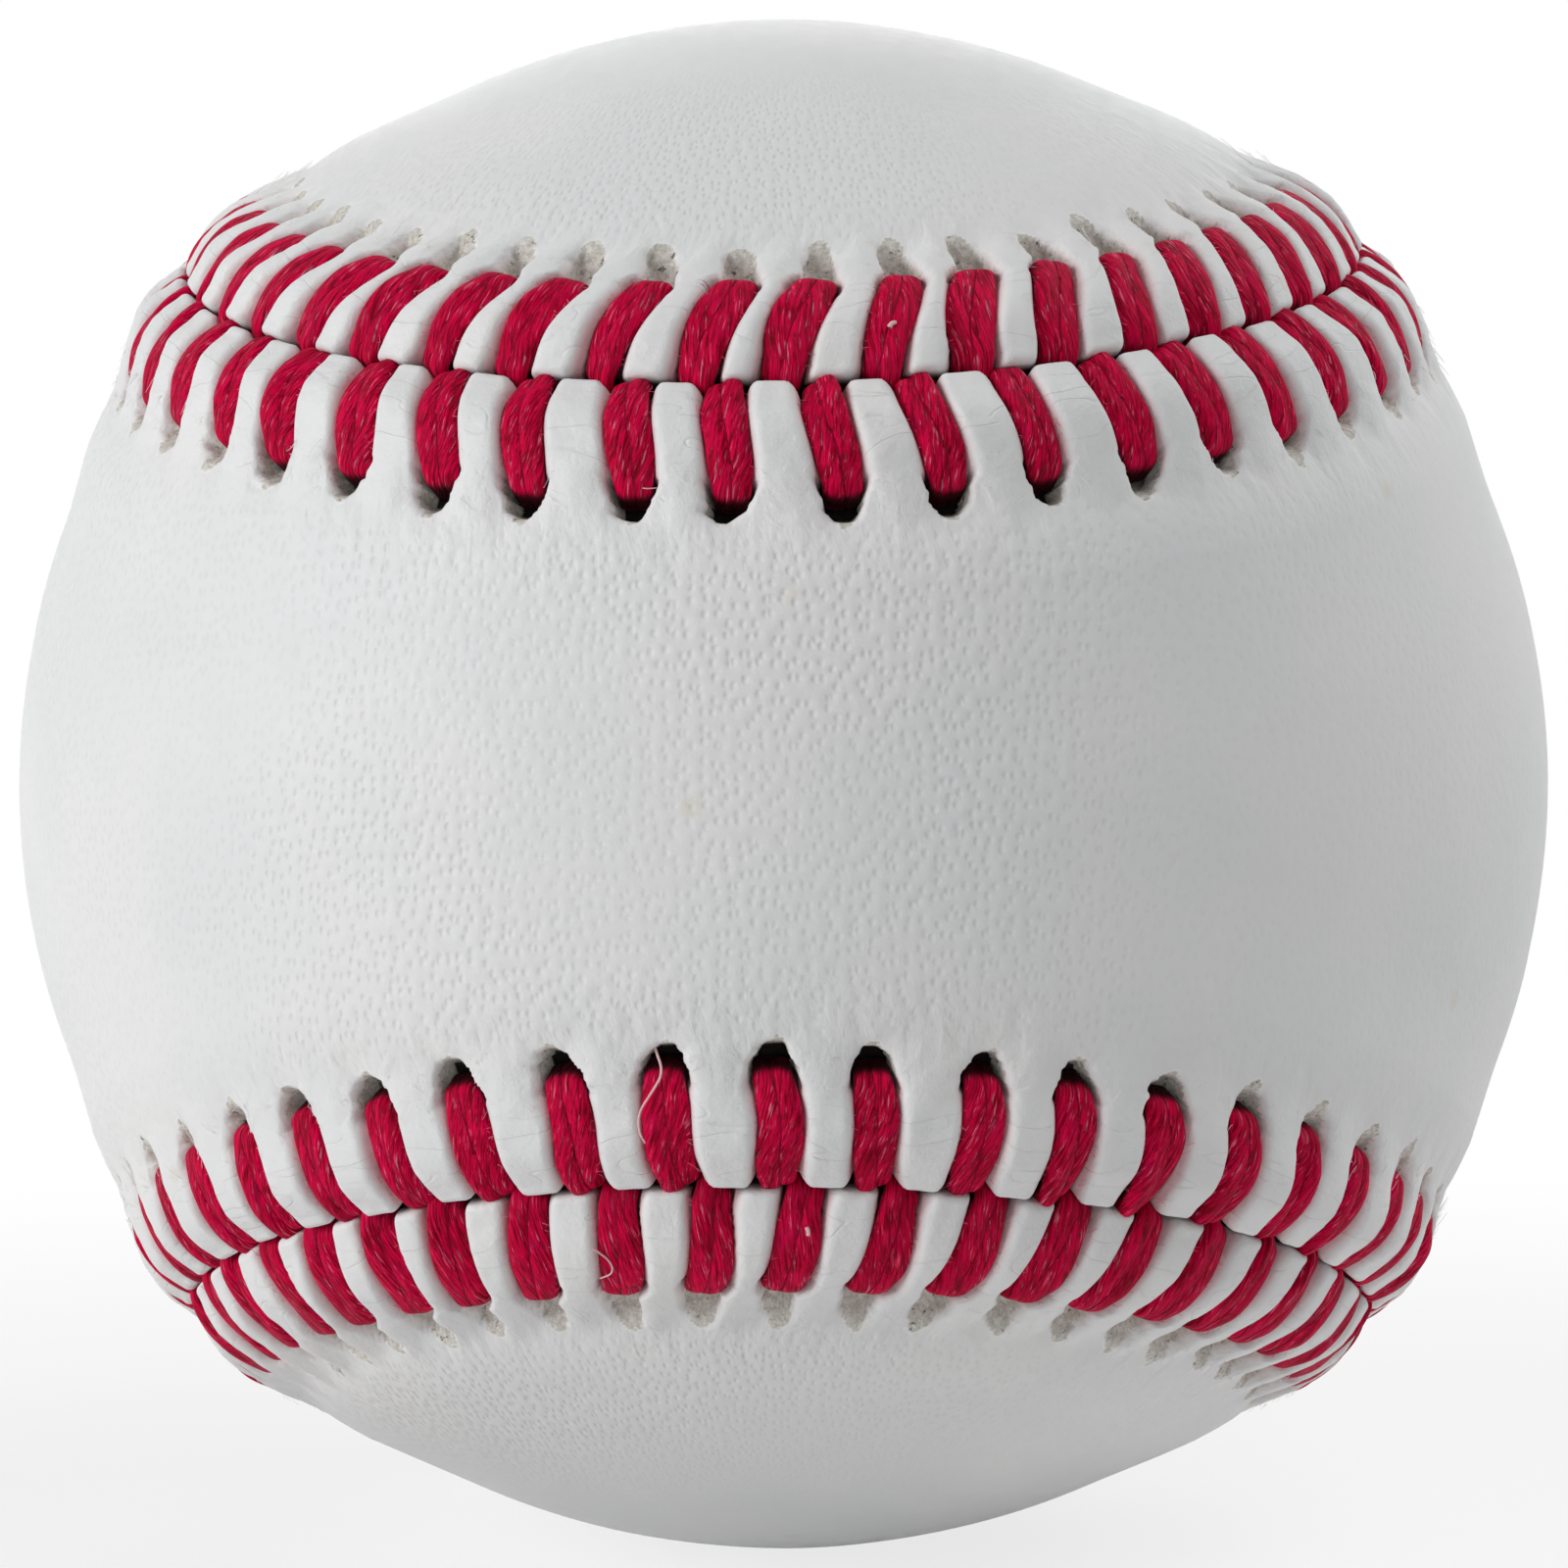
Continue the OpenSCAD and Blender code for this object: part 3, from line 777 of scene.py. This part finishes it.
def loose_hairs(name, slot, per_leg, length):
    """Short hairs beside the legs: the leather's, round the holes, or the thread's own."""
    roots, headings = [], []
    for side in (FRONT, BACK):
        lie = legs[side]
        leg = np.repeat(np.arange(STITCH_COUNT), per_leg)
        sign = rng.choice([-1, 1], len(leg))
        if slot == "leather":
            reach = 6.2 - 2.2 * rng.random(len(leg)) ** 1.5
            across = sign * (lie.width[leg] / 2 + rng.uniform(0.15, 0.5, len(leg)))
            height = pillow_height(reach, np.full(len(leg), 0.5)) - 0.05
            ahead = 0.1
        else:
            reach = rng.uniform(0.5, 4.4, len(leg))
            across = sign * lie.width[leg] * rng.uniform(0.3, 0.46, len(leg))
            height = leg_height(reach) + THREAD_T * 0.3
            ahead = 0.0
        root = lie.place(leg, reach, across, height)
        roots.append(root)
        headings.append(unit(lie.place(leg, reach + ahead, across + 0.1 * sign, height) - root))
    paths = curls(np.concatenate(roots), np.concatenate(headings), length, 0.1)
    return fibres(name, paths, rng.uniform(*HAIR_RADII, len(paths)))


def rounded(points):
    """The same path with its corners cut off, three times over."""
    for _ in range(3):
        near, far = points[:-1], points[1:]
        cut = np.stack([near * 0.75 + far * 0.25, near * 0.25 + far * 0.75], axis=1)
        points = np.concatenate([points[:1], cut.reshape(-1, points.shape[1]), points[-1:]])
    return points


def filament(name, side, leg, thickness, places):
    """One loose fibre on a leg, from its reach, its place across the leg and its height at each point."""
    path = rounded(np.array(places))
    points = legs[side].place(np.full(len(path), leg), path[:, 0], path[:, 1], path[:, 2])
    return fibres(name, points[None], np.array([thickness / 2]))


# The filaments that stand out on the legs in front
FILAMENTS = (
    ("filament_from_hole", FRONT, 53, 0.12, (
        (6.3, -0.1, 0.2), (5.5, 0.15, 0.8), (4.85, -0.4, 1.15), (4.2, -0.95, 1.62), (3.4, -1.0, 1.8),
        (2.8, -0.8, 1.8))),
    ("filament_loop", BACK, 52, 0.1, (
        (2.1, -1.0, 1.74), (2.5, -0.35, 1.68), (3.05, -0.25, 1.62), (3.45, -0.8, 1.56))),
    ("filament_short", FRONT, 1, 0.06, (
        (5.2, 0.15, 0.55), (5.12, -0.25, 0.75), (5.2, -0.6, 0.75), (5.1, -0.95, 0.6))),
    ("speck_upper", BACK, 106, 0.24, ((1.7, 0.0, 1.6), (1.85, -0.06, 1.64), (1.93, -0.2, 1.6))),
    ("speck_lower", BACK, 54, 0.2, ((1.2, 0.25, 1.58), (1.35, 0.34, 1.6), (1.5, 0.33, 1.58))),
)


# Materials

# Bumps: depth, and strength
BUMPS = {
    "fine": (0.012, 1), "nap": (0.07, 1), "pebble": (0.05, 1), "pore": (0.02, 1), "wrinkle": (0.1, 0.8),
    "crease": (0.03, 0.7), "strand": (0.14, 1), "fibre": (0.035, 1), "cork": (0.15, 0.8),
    "rubber": (0.04, 0.8), "brushed": (0.06, 0.9), "fuzz": (0.05, 0.8)}


class Shader:
    """A small helper that adds nodes to a new material or world and links their inputs."""

    def __init__(self, name, group="materials"):
        self.owner = getattr(bpy.data, group).new(name)
        self.owner.use_nodes = True
        self.tree = self.owner.node_tree
        self.tree.nodes.clear()

    def node(self, kind, inputs=None, **settings):
        made = self.tree.nodes.new("ShaderNode" + kind)
        for key, value in settings.items():
            setattr(made, key, value)
        for key, value in (inputs or {}).items():
            if isinstance(value, bpy.types.NodeSocket):
                self.tree.links.new(value, made.inputs[key])
            else:
                made.inputs[key].default_value = value
        return made

    def attribute(self, name, output="Fac"):
        return self.node("Attribute", attribute_name=name).outputs[output]

    def place(self):
        """Places on the object, in millimetres."""
        return self.scaled(self.node("TexCoord").outputs["Object"], (1 / MM,) * 3)

    def scaled(self, vector, scale):
        return self.node("VectorMath", {0: vector, 1: scale}, operation="MULTIPLY").outputs[0]

    def noise(self, vector, scale=1.0, detail=2.0, roughness=0.5, distortion=0.0):
        return self.node("TexNoise", {
            "Vector": vector, "Scale": scale, "Detail": detail, "Roughness": roughness,
            "Distortion": distortion}).outputs["Fac"]

    def spots(self, vector, scale=1.0, feature="F1", randomness=1.0, dimensions="3D"):
        return self.node("TexVoronoi", {
            "Vector": vector, "Scale": scale, "Randomness": randomness},
            voronoi_dimensions=dimensions, feature=feature)

    def round_ball(self, place):
        """Flat places on the ball, measured in millimetres round it and up it."""
        sides = self.node("SeparateXYZ", {0: place}).outputs
        distance = self.node("VectorMath", {0: place}, operation="LENGTH").outputs["Value"]
        east = self.maths("ARCTAN2", sides["X"], self.times(sides["Y"], -1.0))
        north = self.maths("ARCSINE", self.maths("DIVIDE", sides["Z"], distance))
        return self.node("CombineXYZ", {
            0: self.times(east, BALL_R), 1: self.times(north, BALL_R)}).outputs[0]

    def spread(self, value, low, high, to_low=0.0, to_high=1.0):
        return self.node("MapRange", {
            "Value": value, "From Min": low, "From Max": high, "To Min": to_low, "To Max": to_high},
            interpolation_type="SMOOTHSTEP").outputs["Result"]

    def maths(self, operation, a, b=0.5):
        return self.node("Math", {0: a, 1: b}, operation=operation).outputs[0]

    def times(self, first, *others):
        """The product of values, each a number or another node's output."""
        for other in others:
            first = self.maths("MULTIPLY", first, other)
        return first

    def mix(self, share, *colours):
        """From one colour to another, each a table's colour or another node's output."""
        a, b = [(*c, 1) if isinstance(c, tuple) else c for c in colours]
        return self.node("Mix", {0: share, 6: a, 7: b}, data_type="RGBA").outputs[2]

    def coats(self, colour, palette, **shares):
        """Colours of a palette over a first one, one after another, each with its share."""
        for name, share in shares.items():
            colour = self.mix(share, colour, palette[name])
        return colour

    def bumps(self, normal=None, **heights):
        """Bumps one on another. A height of 1 stands for the depth in BUMPS, in millimetres."""
        for name, height in heights.items():
            depth, strength = BUMPS[name]
            inputs = {"Height": height, "Distance": depth * MM, "Strength": strength}
            if normal is not None:
                inputs["Normal"] = normal
            normal = self.node("Bump", inputs).outputs["Normal"]
        return normal

    def finish(self, **inputs):
        named = {key.replace("_", " "): value for key, value in inputs.items()}
        shader = self.node("BsdfPrincipled", named)
        self.node("OutputMaterial", {"Surface": shader.outputs["BSDF"]})
        return self.owner

    def seen_rays(self):
        """1 for rays that see the surround, straight or in a gloss, and 0 for those that only light."""
        path = self.node("LightPath").outputs
        seen = path["Is Camera Ray"]
        for kind in ("Is Glossy Ray", "Is Transmission Ray"):
            seen = self.maths("MAXIMUM", seen, path[kind])
        return seen


# Distances from the seam between which things on the leather come in, or go out where the first is larger
PORES_IN = (5.5, 8.5)
NAP_OUT = (7.5, 5.5)
WRINKLES_IN = (4.4, 6.2)
WRINKLES_OUT = (11, 7.2)
CREASES_IN = (0.5, 1.0)
CREASES_OUT = (5.0, 3.6)
# Painted shade and red dye in a leg's groove fade out between these
DYE_AND_SHADE_OUT = (5.4, 4.8)

# Pebbles to a millimetre, and how they are stretched round the ball and up it
PEBBLE_SCALE = 1.9
PEBBLE_STRETCH = (1.1, 0.85, 1.0)
PEBBLE_DISORDER = 0.85

# The leather's colours. Those of the creases, the groove beside a leg, the cut edge and the hole are
# painted shade; the groove and edge ones hold some red dye too.
LEATHER = {
    "cool": (0.815, 0.825, 0.83), "warm": (0.845, 0.85, 0.845), "mottle": (0.70, 0.71, 0.70),
    "pore": (0.60, 0.61, 0.60), "speck": (0.72, 0.6, 0.34), "crease": (0.45, 0.40, 0.38),
    "dyed": (0.70, 0.34, 0.37), "deep_dyed": (0.07, 0.008, 0.012), "edge_dye_and_shade": (0.05, 0.028, 0.026),
    "hole_lip": (0.93, 0.93, 0.92), "raw_grey": (0.52, 0.50, 0.44), "raw_pale": (0.74, 0.72, 0.67),
    "raw_fleck": (0.08, 0.065, 0.055), "hole": (0.012, 0.009, 0.008), "hole_fleck": (0.78, 0.77, 0.73)}
# The thread's colours. Those between strands and where the thread sinks into its hole are painted shade.
THREAD = {
    "strand_gap_shade": (0.26, 0.0, 0.012), "strand": (0.76, 0.0, 0.06), "fibre": (0.95, 0.02, 0.13),
    "shadow": (0.06, 0.0, 0.004), "blotch": (0.7, 0.005, 0.09), "glint": (1.0, 0.36, 0.5),
    "sunk": (0.012, 0.002, 0.003)}


def leather_grain(s, place, reach):
    """Where the pebbled grain shows, and the pebbles and the pores between them."""
    flat = s.scaled(s.round_ball(place), PEBBLE_STRETCH)
    pebble, pore = [
        s.spots(flat, PEBBLE_SCALE, feature, PEBBLE_DISORDER, "2D").outputs["Distance"]
        for feature in ("SMOOTH_F1", "F1")]
    sides = s.node("SeparateXYZ", {0: place}).outputs
    patchy = s.spread(s.noise(place, 0.07, 2), 0.36, 0.56, 0.55, 1.0)
    less_right = s.spread(sides["X"], 8, 24, 1.0, 0.3)
    off_poles = s.spread(s.maths("ABSOLUTE", sides["Z"]), 33, 27)
    beside_join = s.spread(s.maths("ABSOLUTE", sides["X"]), 0.2, 1.6)
    off_join = s.maths("MAXIMUM", beside_join, s.spread(sides["Y"], 1, -1))
    zone = s.times(patchy, less_right, off_poles, off_join, s.spread(reach, *PORES_IN))
    return zone, pebble, s.spread(pore, 0.06, 0.4)


def raw_leather(s, place, in_hole):
    """The flecked raw leather of a hole's wall, painted near black with depth as shade."""
    raw_noise = s.noise(place, 4.5, 4, 0.7)
    raw = s.mix(s.spread(raw_noise, 0.35, 0.65), LEATHER["raw_grey"], LEATHER["raw_pale"])
    dark_fleck = s.spread(s.noise(place, 2.6, 3, 0.7), 0.60, 0.68)
    pale_fleck = s.spread(s.noise(place, 3.4, 3, 0.7), 0.56, 0.6)
    # The near black deep in a hole is painted shade
    return s.coats(
        raw, LEATHER, raw_fleck=s.times(dark_fleck, 0.8), hole=s.spread(in_hole, 0.88, 1.0),
        hole_fleck=s.times(pale_fleck, s.spread(in_hole, 1.0, 0.86)))


def leather_material():
    s = Shader("leather_white")
    seam = s.attribute("seam_place", "Vector")
    in_hole, in_groove, on_edge, reach = [
        s.attribute(name) for name in ("in_hole", "in_groove", "on_edge", "seam_reach")]
    place = s.place()

    grain_zone, pebble, pores = leather_grain(s, place, reach)
    wrinkles = s.noise(s.scaled(seam, (2.1, 2.1, 0.8)), 1, 3, 0.55, 0.4)
    wrinkle_zone = s.times(s.spread(reach, *WRINKLES_IN), s.spread(reach, *WRINKLES_OUT))
    crease_noise = s.noise(s.scaled(seam, (0.25, 0.25, 0.75)), 1, 1, 0.5, 0.3)
    crease_line = s.spread(s.maths("ABSOLUTE", s.maths("SUBTRACT", crease_noise, 0.5)), 0.0, 0.02)
    crease_zone = s.times(s.spread(reach, *CREASES_IN), s.spread(reach, *CREASES_OUT))

    tint = s.noise(place, 0.09, 3)
    colour = s.mix(s.spread(tint, 0.35, 0.65), LEATHER["cool"], LEATHER["warm"])
    mottle = s.spread(s.noise(place, 0.9, 4, 0.65), 0.3, 0.7)
    speck = s.spots(place, 0.22)
    speck_core = s.spread(speck.outputs["Distance"], 0.13, 0.05)
    few_specks = s.spread(speck.outputs["Color"], 0.70, 0.74)
    beside_thread = s.spread(reach, *DYE_AND_SHADE_OUT)
    colour = s.coats(
        colour, LEATHER, mottle=s.times(mottle, 0.05),
        pore=s.times(s.maths("SUBTRACT", 1.0, pores), s.times(grain_zone, 0.14)),
        speck=s.times(speck_core, few_specks, 0.2),
        # Darker along the crease lines: painted shade in the creases
        crease=s.times(s.maths("SUBTRACT", 1.0, crease_line), s.times(crease_zone, 0.05)),
        # Pink in the groove beside a leg: red dye from the thread, with painted shade where the leather
        # meets the thread
        dyed=s.times(s.spread(in_groove, 0.06, 0.5), beside_thread, 0.5),
        # Near black deeper in the groove under a leg: painted shade
        deep_dyed=s.times(s.spread(in_groove, 0.6, 1.0), beside_thread, 0.9),
        hole_lip=s.times(s.spread(in_hole, 0.0, 0.03), 0.5))
    colour = s.mix(s.spread(in_hole, 0.04, 0.2), colour, raw_leather(s, place, in_hole))
    # Near black on the cut edges down in the seam: painted shade, with some thread dye
    colour = s.mix(s.spread(on_edge, 0.3, 1.0), colour, LEATHER["edge_dye_and_shade"])

    normal = s.bumps(
        fine=s.noise(place, 5.5, 3, 0.6),
        nap=s.times(s.noise(place, 2.4, 4, 0.65), s.spread(reach, *NAP_OUT)),
        pebble=s.times(pebble, grain_zone),
        pore=s.times(pores, grain_zone),
        wrinkle=s.times(wrinkles, wrinkle_zone),
        crease=s.times(crease_line, crease_zone))
    rough = s.spread(s.noise(place, 1.4, 3), 0.3, 0.7, 0.44, 0.56)
    rough = s.maths("ADD", rough, s.times(s.spread(in_hole, 0.04, 0.3), 0.35))
    return s.finish(Base_Color=colour, Roughness=rough, Normal=normal, Specular_IOR_Level=0.28)


def thread_material():
    s = Shader("thread_crimson")
    fibre = s.attribute("fibre", "Vector")
    sunk = s.attribute("sunk")

    def streaks(across, along):
        return s.noise(s.scaled(fibre, (across, along, 1)), 1, 3, 0.6)

    strands = streaks(9, 0.9)
    fine = streaks(18, 1.7)
    glints = streaks(11, 1.2)
    blotch = s.noise(s.place(), 0.9, 3)
    # Darker between the strands: painted shade
    colour = s.mix(s.spread(strands, 0.34, 0.64), THREAD["strand_gap_shade"], THREAD["strand"])
    colour = s.coats(
        colour, THREAD, fibre=s.times(s.spread(fine, 0.5, 0.7), 0.45),
        shadow=s.times(s.spread(fine, 0.46, 0.32), 0.7),
        blotch=s.times(s.spread(blotch, 0.5, 0.75), 0.3),
        glint=s.times(s.spread(glints, 0.58, 0.74), 0.56),
        # Near black where the thread sinks into its hole: painted shade
        sunk=s.times(s.spread(sunk, 0.2, 1.0), 0.97))
    normal = s.bumps(strand=strands, fibre=fine)
    rough = s.spread(fine, 0.3, 0.7, 0.42, 0.6)
    return s.finish(Base_Color=colour, Roughness=rough, Normal=normal, Specular_IOR_Level=0.04,
                    Sheen_Weight=0.06, Sheen_Roughness=0.35, Sheen_Tint=(1.0, 0.25, 0.4, 1))


def hair_material(name, colour):
    return Shader(name).finish(Base_Color=(*colour, 1), Roughness=0.7, Specular_IOR_Level=0.1)


def cork_material():
    s = Shader("cork_composition")
    place = s.place()
    grain = s.spots(place, 0.75)
    colour = s.mix(s.spread(grain.outputs["Color"], 0.2, 0.8), (0.30, 0.17, 0.08), (0.58, 0.38, 0.2))
    dark = s.spread(s.spots(place, 1.3, "DISTANCE_TO_EDGE").outputs["Distance"], 0.07, 0.0)
    colour = s.mix(s.times(dark, 0.8), colour, (0.05, 0.03, 0.02))
    normal = s.bumps(cork=s.noise(place, 3, 4, 0.7))
    return s.finish(Base_Color=colour, Roughness=0.85, Normal=normal)


def rubber_material(name, dark, pale):
    s = Shader(name)
    place = s.place()
    colour = s.mix(s.spread(s.noise(place, 0.4, 4), 0.35, 0.65), dark, pale)
    normal = s.bumps(rubber=s.noise(place, 5, 4, 0.6))
    rough = s.spread(s.noise(place, 0.8, 3), 0.3, 0.7, 0.5, 0.7)
    return s.finish(Base_Color=colour, Roughness=rough, Normal=normal)


def yarn_material(name, dark, pale, yarn_w):
    """Yarn wound over and over: three lays of strands that cross each other."""
    s = Shader(name)
    place = s.place()
    wander = s.node("TexNoise", {"Vector": place, "Scale": 0.15}).outputs["Color"]
    wander = s.scaled(wander, (4, 4, 4))
    warped = s.node("VectorMath", {0: place, 1: wander}, operation="ADD").outputs[0]
    height = None
    for turn in ((0.2, 0.5, 0.0), (1.3, 0.2, 0.9), (0.7, 1.4, 2.0)):
        turned = s.node("VectorRotate", {"Vector": warped, "Rotation": turn},
                        rotation_type="EULER_XYZ").outputs[0]
        wave = s.node("TexWave", {
            "Vector": turned, "Scale": 0.31 / yarn_w, "Distortion": 1.2, "Detail": 2.0},
            bands_direction="Z").outputs["Fac"]
        height = wave if height is None else s.maths("MAXIMUM", height, s.times(wave, 0.94))
    fuzz = s.noise(place, 6, 4, 0.7)
    # Darker down between the strands and paler on their tops: painted shade
    colour = s.mix(s.spread(height, 0.2, 0.95), dark, pale)
    colour = s.mix(s.times(s.spread(fuzz, 0.35, 0.65), 0.3), colour, pale)
    strands = s.node("Bump", {"Height": height, "Distance": yarn_w * 0.4 * MM, "Strength": 1.0})
    normal = s.bumps(strands.outputs["Normal"], fuzz=fuzz)
    return s.finish(Base_Color=colour, Roughness=0.9, Normal=normal, Sheen_Weight=0.3)


def cement_material():
    s = Shader("rubber_cement")
    place = s.place()
    brushed = s.noise(s.scaled(place, (0.4, 2.4, 0.6)), 1, 4, 0.6, 0.5)
    colour = s.mix(s.spread(brushed, 0.35, 0.65), (0.62, 0.50, 0.31), (0.80, 0.72, 0.54))
    normal = s.bumps(brushed=brushed)
    return s.finish(Base_Color=colour, Roughness=0.35, Normal=normal)


def give(obj, material):
    obj.data.materials.clear()
    obj.data.materials.append(material)


def dress_core():
    """Finishes of the carried-over pieces inside the ball."""
    black = rubber_material("rubber_black", (0.02, 0.02, 0.02), (0.05, 0.048, 0.046))
    red = rubber_material("rubber_red", (0.36, 0.045, 0.03), (0.47, 0.07, 0.045))
    grey = ((0.20, 0.20, 0.21), (0.44, 0.44, 0.45))
    finishes = {
        "cork_core": cork_material(),
        "inner_rubber_upper": black,
        "inner_rubber_lower": black,
        "rubber_gasket": red,
        "outer_rubber": red,
        "first_winding": yarn_material("wool_grey_four_ply", *grey, 1.2),
        "second_winding": yarn_material("wool_white", (0.50, 0.48, 0.42), (0.78, 0.76, 0.70), 0.9),
        "third_winding": yarn_material("wool_grey_three_ply", *grey, 0.9),
        "finish_winding": yarn_material("yarn_white_fine", (0.56, 0.54, 0.48), (0.82, 0.80, 0.75), 0.35),
        "cement_coat": cement_material(),
    }
    for node, material in finishes.items():
        give(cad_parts[node], material)


# The stage: a camera in the photograph's place, soft lamps, and a white floor

def direction_at(azimuth, elevation):
    """From the ball towards a place round it: azimuth 0 is in front, and 90 on the right."""
    a, e = math.radians(azimuth), math.radians(elevation)
    return Vector((math.sin(a) * math.cos(e), -math.cos(a) * math.cos(e), math.sin(e)))


def make_camera():
    data = bpy.data.cameras.new("camera")
    data.lens = CAMERA_LENS
    data.shift_x = CAMERA_SHIFT
    data.clip_start = 10 * MM
    camera = added("camera", data)
    back = direction_at(CAMERA_AZIMUTH, 0)
    turn = back.to_track_quat("Z", "Y").to_matrix() @ Matrix.Rotation(math.radians(CAMERA_ROLL), 3, "Z")
    camera.matrix_world = Matrix.Translation(back * CAMERA_DISTANCE * MM) @ turn.to_4x4()
    bpy.context.scene.camera = camera


def area_lamp(name, azimuth, elevation, size, level):
    """A square soft lamp that gives a facing white surface the stated level, where 1 is white."""
    data = bpy.data.lights.new(name, "AREA")
    data.size = size
    data.energy = level * math.pi**2 * LAMP_DISTANCE**2
    lamp = added(name, data)
    place = direction_at(azimuth, elevation)
    lamp.location = place * LAMP_DISTANCE
    lamp.rotation_mode = "QUATERNION"
    lamp.rotation_quaternion = place.to_track_quat("Z", "Y")


def make_world():
    """A white surround to the camera, which lights the ball at a lower level."""
    s = Shader("studio", "worlds")
    inputs = {"Value": s.seen_rays(), "To Min": WORLD_LEVEL, "To Max": 1.0}
    strength = s.node("MapRange", inputs).outputs["Result"]
    background = s.node("Background", {"Color": (1, 1, 1, 1), "Strength": strength}).outputs[0]
    s.node("OutputWorld", {"Surface": background})
    bpy.context.scene.world = s.owner


def make_floor():
    """A white floor that shows the ball's shadow only near the ball."""
    low = -BALL_R - STAGE_DROP
    corners = np.array([(x, y, low) for x, y in ((-1, -1), (1, -1), (1, 1), (-1, 1))])
    corners[:, :2] *= STAGE_HALF
    floor = mesh_object("floor", corners, [np.array([[0, 1, 2, 3]])])
    s = Shader("floor_white")
    away = s.node("VectorMath", {0: s.place()}, operation="LENGTH").outputs["Value"]
    own = s.spread(away, 1.5 * BALL_R, 5 * BALL_R, 0.78, 1.0)
    seen = s.times(s.seen_rays(), own)
    diffuse = s.node("BsdfDiffuse", {"Color": (0.95, 0.95, 0.95, 1)}).outputs[0]
    white = s.node("Emission", {"Color": (1, 1, 1, 1), "Strength": 1.0}).outputs[0]
    blend = s.node("MixShader", {0: seen, 1: diffuse, 2: white}).outputs[0]
    s.node("OutputMaterial", {"Surface": blend})
    give(floor, s.owner)


make_camera()
make_world()
for name, values in LAMPS.items():
    area_lamp(name, *values)
make_floor()
bpy.context.scene.view_settings.view_transform = "Standard"

dress_core()
leather = leather_material()
thread = thread_material()
for name, side in (("cover_front_leather", FRONT), ("cover_back_leather", BACK)):
    panel = cover_panel(name, side)
    give(panel, leather)
    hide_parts("cover_panel_front" if side == FRONT else "cover_panel_back")
for side, side_name in ((FRONT, "front"), (BACK, "back")):
    for quarter, quarter_name in enumerate(("top", "left", "bottom", "right")):
        group = lacing(f"thread_{quarter_name}_{side_name}", side, quarter)
        give(group, thread)
        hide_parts(f"lacing_{quarter_name}_{side_name}")

for name, (slot, per_leg, length, finish, colour) in HAIRS.items():
    give(loose_hairs(name, slot, per_leg, length), hair_material(finish, colour))
filament_pink = hair_material("filament_pink", (0.86, 0.56, 0.58))
for filament_values in FILAMENTS:
    give(filament(*filament_values), filament_pink)
